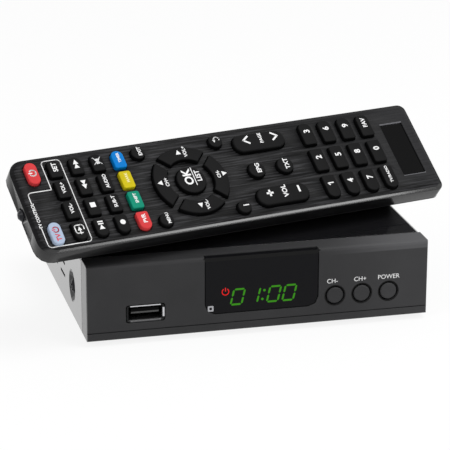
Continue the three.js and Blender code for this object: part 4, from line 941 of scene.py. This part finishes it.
def source_sign(size):
    """An open frame with an arrow that goes into it."""
    half, corner = size / 2, size / 4
    near, far = corner - half, half - corner
    line = [(-half, -half * 0.4), *arc(corner, 180, 90, 4, near, far), *arc(corner, 90, 0, 4, far, far),
            *arc(corner, 0, -90, 4, far, near), (-half * 0.1, -half)]
    return [*ribbon(line, STROKE), bar(half * 1.2, STROKE, -half * 0.7, 0), triangle(size * 0.5, half * 0.1)]


def mute_sign(size):
    """A speaker that a cross strikes out."""
    half = size / 2
    cross = [*ribbon([(-half, -half), (half, half)], STROKE * 0.5),
             *ribbon([(-half, half), (half, -half)], STROKE * 0.5)]
    return [bar(size * 0.3, size * 0.4, -size * 0.3), triangle(size * 0.75, -size * 0.05, 0, 2), *cross]


def return_sign(radius):
    return [*ribbon(arc(radius, -100, 110, 14), STROKE), triangle(radius * 1.1, -radius * 0.55, radius, 2)]


def chevron(size, quarters):
    line = turned([(-size, -size * 0.7), (0, size * 0.7), (size, -size * 0.7)], quarters)
    return ribbon(line, STROKE * 1.7)


def upper_print():
    """Words and signs of the block of keys, by column and row."""
    words = (("SET", 0, 0, WORD), ("VOL+", 0, 1, SMALL_WORD), ("VOL-", 0, 2, SMALL_WORD),
             ("AUDIO", 2, 1, SMALL_WORD), ("SUB-T", 2, 2, SMALL_WORD))
    post = STROKE * 1.3
    signs = (
        (source_sign(SIGNS["source"]), 0, 3),
        ([triangle(SIGN, -SIGN * 0.4), triangle(SIGN, SIGN * 0.45)], 1, 0),
        ([triangle(SIGN, -SIGN * 0.45, 0, 2), triangle(SIGN, SIGN * 0.4, 0, 2)], 1, 1),
        ([bar(SIGN, SIGN)], 1, 2),
        ([triangle(SIGN, -SIGN * 0.3), bar(post, SIGN, SIGN * 0.35), bar(post, SIGN, SIGN * 0.8)], 1, 3),
        (mute_sign(SIGNS["mute"]), 2, 0),
        ([circle(SIGN / 2, steps=20)], 2, 3),
    )
    shapes = [word(text, upper_column(column), upper_row(row), height) for text, column, row, height in words]
    return shapes + [sign(outlines, upper_column(column), upper_row(row)) for outlines, column, row in signs]


def round_print():
    near_along, far_along = PAD["along"] - SMALL["along"], PAD["along"] + SMALL["along"]
    return [
        word("EPG", MIDDLE["along"] - MIDDLE["spread"], 0),
        word("TXT", MIDDLE["along"] + MIDDLE["spread"], 0),
        word("EXIT", near_along, SMALL["across"], SMALL_WORD),
        word("MENU", near_along, -SMALL["across"], SMALL_WORD * 0.9),
        word("i", far_along, -SMALL["across"], DIGIT),
        sign(return_sign(SIGNS["return"]), far_along, SMALL["across"]),
    ]


def plain_one():
    """The figure one without a foot."""
    stroke = STROKE * 1.2
    flag = [(-DIGIT * 0.2, DIGIT * 0.25), (0, DIGIT * 0.42)]
    return [bar(stroke, DIGIT, stroke / 2), *ribbon(flag, stroke)]


def number_print():
    pitch, last = NUMBERS["row_pitch"], number_column(NUMBERS["columns"] - 1)
    signs = [sign(plain_one(), number_column(0), -pitch)]
    for column, digits in enumerate((" 23", "456", "789")):
        signs += [word(digit, number_column(column), (row - 1) * pitch, DIGIT)
                  for row, digit in enumerate(digits) if digit.strip()]
    signs.append(word("TV/RADIO", last, -pitch, SMALL_WORD * 0.88))
    signs.append(word("0", last, 0, DIGIT))
    signs.append(word("FAV", last, pitch))
    return signs


def pad_print():
    """Signs of the round pad, each on its own key."""
    ok = [word(text, PAD["along"] + shift, 0, height) for text, shift, height in OK_PRINT["words"]]
    rule = sign([bar(OK_PRINT["rule"], STROKE * 0.8)], PAD["along"] + OK_PRINT["rule_at"], 0)
    printed("ok_print", [*ok, rule], "ok_push", shift=SET_OFF["ok"])
    middle = (PAD["inner"] + PAD["outer"]) / 2
    words = {"down": (middle, 0, "CH-", 3), "right": (0, middle, "VOL+", 0), "up": (-middle, 0, "CH+", 1),
             "left": (0, -middle, "VOL-", 2)}
    for name, (along, across, text, quarters) in words.items():
        spread = PAD["sign_spread"] if name == "down" else -PAD["sign_spread"]
        arrow_sign = sign([triangle(SIGN, 0, 0, quarters)], PAD["along"] + along + spread, across)
        label = word(text, PAD["along"] + along - spread, across, SMALL_WORD)
        printed(f"{name}_print", [arrow_sign, label], f"{name}_push", shift=SET_OFF["round"])


def rocker_print():
    """Signs of the rockers, one near the head and one far from it, with a word between them."""
    across = ROCKER["across"]
    near, far = (MIDDLE["along"] + way * ROCKER["sign_at"] for way in (-1, 1))
    page = [sign(chevron(ROCKER["chevron"], 0), near, across),
            sign(chevron(ROCKER["chevron"], 2), far, across),
            word("PAGE", MIDDLE["along"], across, SMALL_WORD)]
    printed("page_print", page, "page_tip", shift=SET_OFF["middle"])
    dash, stroke = ROCKER["dash"], ROCKER["dash_stroke"]
    volume = [sign([bar(dash, stroke), bar(stroke, dash)], near, -across),
              sign([bar(dash, stroke)], far, -across),
              word("VOL", MIDDLE["along"], -across, WORD * 1.1)]
    printed("volume_print", volume, "volume_tip", shift=SET_OFF["middle"])


def colour_print():
    last = upper_column(UPPER["columns"] - 1)
    words = ("blue", "TIMER", 0.8), ("yellow", "MARK", 0.8), ("green", "SHIFT", 0.9), ("red", "PVR", 1.15)
    for row, (name, text, share) in enumerate(words):
        label = word(text, last, upper_row(row), SMALL_WORD * share)
        finish = pale_ink if name == "yellow" else white_ink
        printed(f"{name}_print", [label], f"{name}_push", finish, SET_OFF["block"])
    along, across = POWER_KEY["along"], POWER_KEY["across"]
    standby = sign(power_sign(SIGNS["standby"], STROKE * 1.15), along, across)
    printed("remote_power_print", [standby], "remote_power_push")
    tv_sign = sign(power_sign(SIGNS["tv_standby"], STROKE), along, TV_PRINT["sign_at"] - across)
    tv_word = word("TV", along, TV_PRINT["word_at"] - across)
    printed("tv_power_print", [tv_sign, tv_word], "tv_power_push", red_ink)


def control_frame():
    """The white line round the television's keys, broken by its two words."""
    line, corner = CONTROL_LINE, CONTROL_LINE["corner"]
    left, right, step_along = line["left"], line["right"], line["step_along"]
    low, high = line["gap"]
    path = [
        (left, high),
        *arc(corner, 180, 90, 4, left + corner, line["step_across"] - corner),
        (step_along, line["step_across"]),
        *arc(corner, 180, 90, 4, step_along + corner, line["far"] - corner),
        *arc(corner, 90, 0, 4, right - corner, line["far"] - corner),
        *arc(corner, 0, -90, 4, right - corner, line["near"] + corner),
        *arc(corner, 270, 180, 4, left + corner, line["near"] + corner),
        (left, low),
    ]
    label = word("TV CONTROL", left, (low + high) / 2, SMALL_WORD * 0.9)
    printed("control_frame", [*flats(ribbon(path, STROKE * 0.8)), label], "remote", level=0)


for name, signs in (("block", upper_print()), ("round", round_print()), ("number", number_print())):
    printed(f"{name}_print", signs, "remote", shift=SET_OFF[name])
pad_print()
rocker_print()
colour_print()
control_frame()

plate_face = Shape().flat(plate(-PLATE["slack"]), 0)
piece("name_plate", plate_face, REMOTE @ Matrix.Translation((0, 0, LIFT - PLATE["depth"])),
      smoked_window("name_plate", 0.08), "remote", closed=False)


# Front panel: display, print and buttons


def seven_segments(across, lit_bars):
    """Outlines of the lit bars of one slanted figure."""
    half_width, half_height = DISPLAY["width"] / 2, DISPLAY["height"] / 2
    thick, gap = DISPLAY["bar"] / 2, DISPLAY["gap"]
    knee_x, knee_y = half_width - thick, half_height - thick
    knees = [(x * knee_x, y * knee_y) for x, y in ((-1, 1), (1, 1), (1, 0), (1, -1), (-1, -1), (-1, 0))]
    outlines = []
    for index in lit_bars:
        (x0, y0), (x1, y1) = knees[index], knees[(index + 1) % len(knees)]
        length = math.hypot(x1 - x0, y1 - y0)
        ux, uy = (x1 - x0) / length, (y1 - y0) / length
        shape = []
        for reach, side in ((gap, 0), (gap + thick, -1), (length - gap - thick, -1), (length - gap, 0),
                            (length - gap - thick, 1), (gap + thick, 1)):
            x = x0 + ux * reach - uy * side * thick
            y = y0 + uy * reach + ux * side * thick
            shape.append((across + x + DISPLAY["slant"] * y, DISPLAY["low"] + half_height + y))
        outlines.append(shape)
    return outlines


def panel_middle(node):
    """Where a part's middle lies on the panel, in millimetres."""
    low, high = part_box(node)
    middle = (low + high) / 2
    return (middle.x - PANEL_MIDDLE) * PER_METRE, (middle.z - panel_low.z) * PER_METRE


window_low, window_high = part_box("display_window")
WINDOW_DEPTH = (window_low.y - panel_low.y) * PER_METRE


def on_panel(name, shapes, depth, finish):
    """Flat shapes on the front panel or its window."""
    lift = Matrix.Translation((0, 0, LIFT - depth))
    piece(name, joined(shapes), PANEL @ lift, finish, "receiver", closed=False)


figures = [outline for across, figure in FIGURES for outline in seven_segments(across, LIT_BARS[figure])]
middle_up = DISPLAY["low"] + DISPLAY["height"] / 2
figures += [circle(DISPLAY["dot"], COLON["across"] + DISPLAY["slant"] * (up - middle_up), up, 16)
            for up in COLON["up"]]
on_panel("clock_figures", flats(figures), WINDOW_DEPTH, green_light)

standby_light = joined(flats(power_sign(STANDBY["radius"], STANDBY["stroke"])))
on_panel("standby_sign", [standby_light.move(STANDBY["across"], STANDBY["up"])], WINDOW_DEPTH, red_light)

# A black strip painted along the top of the display window as painted shade of its recess.
window_width, window_top = (
    (window_high.x - window_low.x) * PER_METRE, (window_high.z - panel_low.z) * PER_METRE)
painted_shade_bar = bar(window_width - 2 * WINDOW_PAINTED_SHADE["inset"], WINDOW_PAINTED_SHADE["height"],
                panel_middle("display_window")[0], window_top - WINDOW_PAINTED_SHADE["height"] / 2)
on_panel("window_painted_shade", flats([painted_shade_bar]), WINDOW_DEPTH, painted_shade_black)

eye_outline, eye_hole = (
    moved(rounded(size, size, EYE_MARK["radius"], steps=3), EYE_MARK["across"], EYE_MARK["up"])
    for size in (EYE_MARK["size"], EYE_MARK["size"] - 2 * EYE_MARK["line"]))
on_panel("eye_mark", [Shape().flat(eye_outline, 0, [eye_hole])], WINDOW_DEPTH, grey_ink)

# Black rings painted round the front buttons as painted shade of the gaps round them; the words are print.
button_words, button_shade_rings = [], []
for button, text, shift in BUTTON_WORDS:
    across, up = panel_middle(button)
    letters = lettering(text, BUTTON_WORD["height"], bold=0.0)
    button_words.append(letters.move(across + shift, BUTTON_WORD["up"]))
    rim = Shape().flat(circle(BUTTON_SHADE_RING[1]), 0, [circle(BUTTON_SHADE_RING[0])])
    button_shade_rings.append(rim.move(across, up))
on_panel("button_print", button_words, 0, white_ink)
on_panel("button_shade_rings", button_shade_rings, 0, painted_shade_black)


# Room, light and camera


def backdrop_share(finish):
    """One for rays that see the background itself: camera, glossy and transmission rays."""
    path = finish.node("LightPath")
    share = path["Is Camera Ray"] + path["Is Glossy Ray"] + path["Is Transmission Ray"]
    return finish.node("Clamp", {"Value": share})


def floor_finish():
    """A pale floor that shows white but keeps part of the shadow."""
    finish = Finish("floor")
    diffuse = finish.node("BsdfDiffuse", {"Color": (0.9, 0.9, 0.9, 1.0)})
    glow = finish.node("Emission", {"Color": (1.0, 1.0, 1.0, 1.0)})
    shader = finish.node("MixShader", {0: backdrop_share(finish) * 0.86, 1: diffuse, 2: glow})
    finish.node("OutputMaterial", {"Surface": shader})
    return finish.material


def floor():
    mesh = bpy.data.meshes.new("floor")
    corners = [(x, y, 0) for x, y in bar(2 * FLOOR_REACH, 2 * FLOOR_REACH)]
    mesh.from_pydata(corners, [], [(0, 1, 2, 3)])
    mesh.materials.append(floor_finish())
    plane = linked("floor", mesh)


class Sky(Finish):
    """The room's light, which shows white behind the object."""

    def __init__(self):
        world = bpy.data.worlds.new("room")
        world.use_nodes = True
        bpy.context.scene.world = world
        self.tree = world.node_tree
        self.tree.nodes.clear()
        strength = backdrop_share(self) * 0.4 + 0.6
        back = self.node("Background", {"Color": (1.0, 1.0, 1.0, 1.0), "Strength": strength})
        self.node("OutputWorld", {"Surface": back})


def lamp(name, at_point, size, power):
    light = bpy.data.lights.new(name, "AREA")
    light.shape = "RECTANGLE"
    light.size, light.size_y = size
    light.energy = power
    holder = linked(name, light)
    holder.location = at_point
    aim = Vector(LAMP_AIM) - Vector(at_point)
    holder.rotation_euler = aim.to_track_quat("-Z", "Y").to_euler()


def camera():
    looking, up = Vector(CAMERA["looking"]).normalized(), Vector(CAMERA["up"])
    right = looking.cross(up).normalized()
    up = right.cross(looking)
    data = bpy.data.cameras.new("camera")
    data.lens = CAMERA["lens"]
    data.sensor_width = CAMERA["sensor"]
    data.clip_start, data.clip_end = CAMERA["clip"]
    eye = linked("camera", data)
    turn = Matrix((right, up, -looking)).transposed().to_4x4()
    eye.matrix_world = Matrix.Translation(CAMERA["at"]) @ turn
    bpy.context.scene.camera = eye


floor()
Sky()
for name, (at_point, size, power) in LAMPS.items():
    lamp(name, at_point, size, power)
camera()
bpy.context.scene.view_settings.view_transform = "Standard"
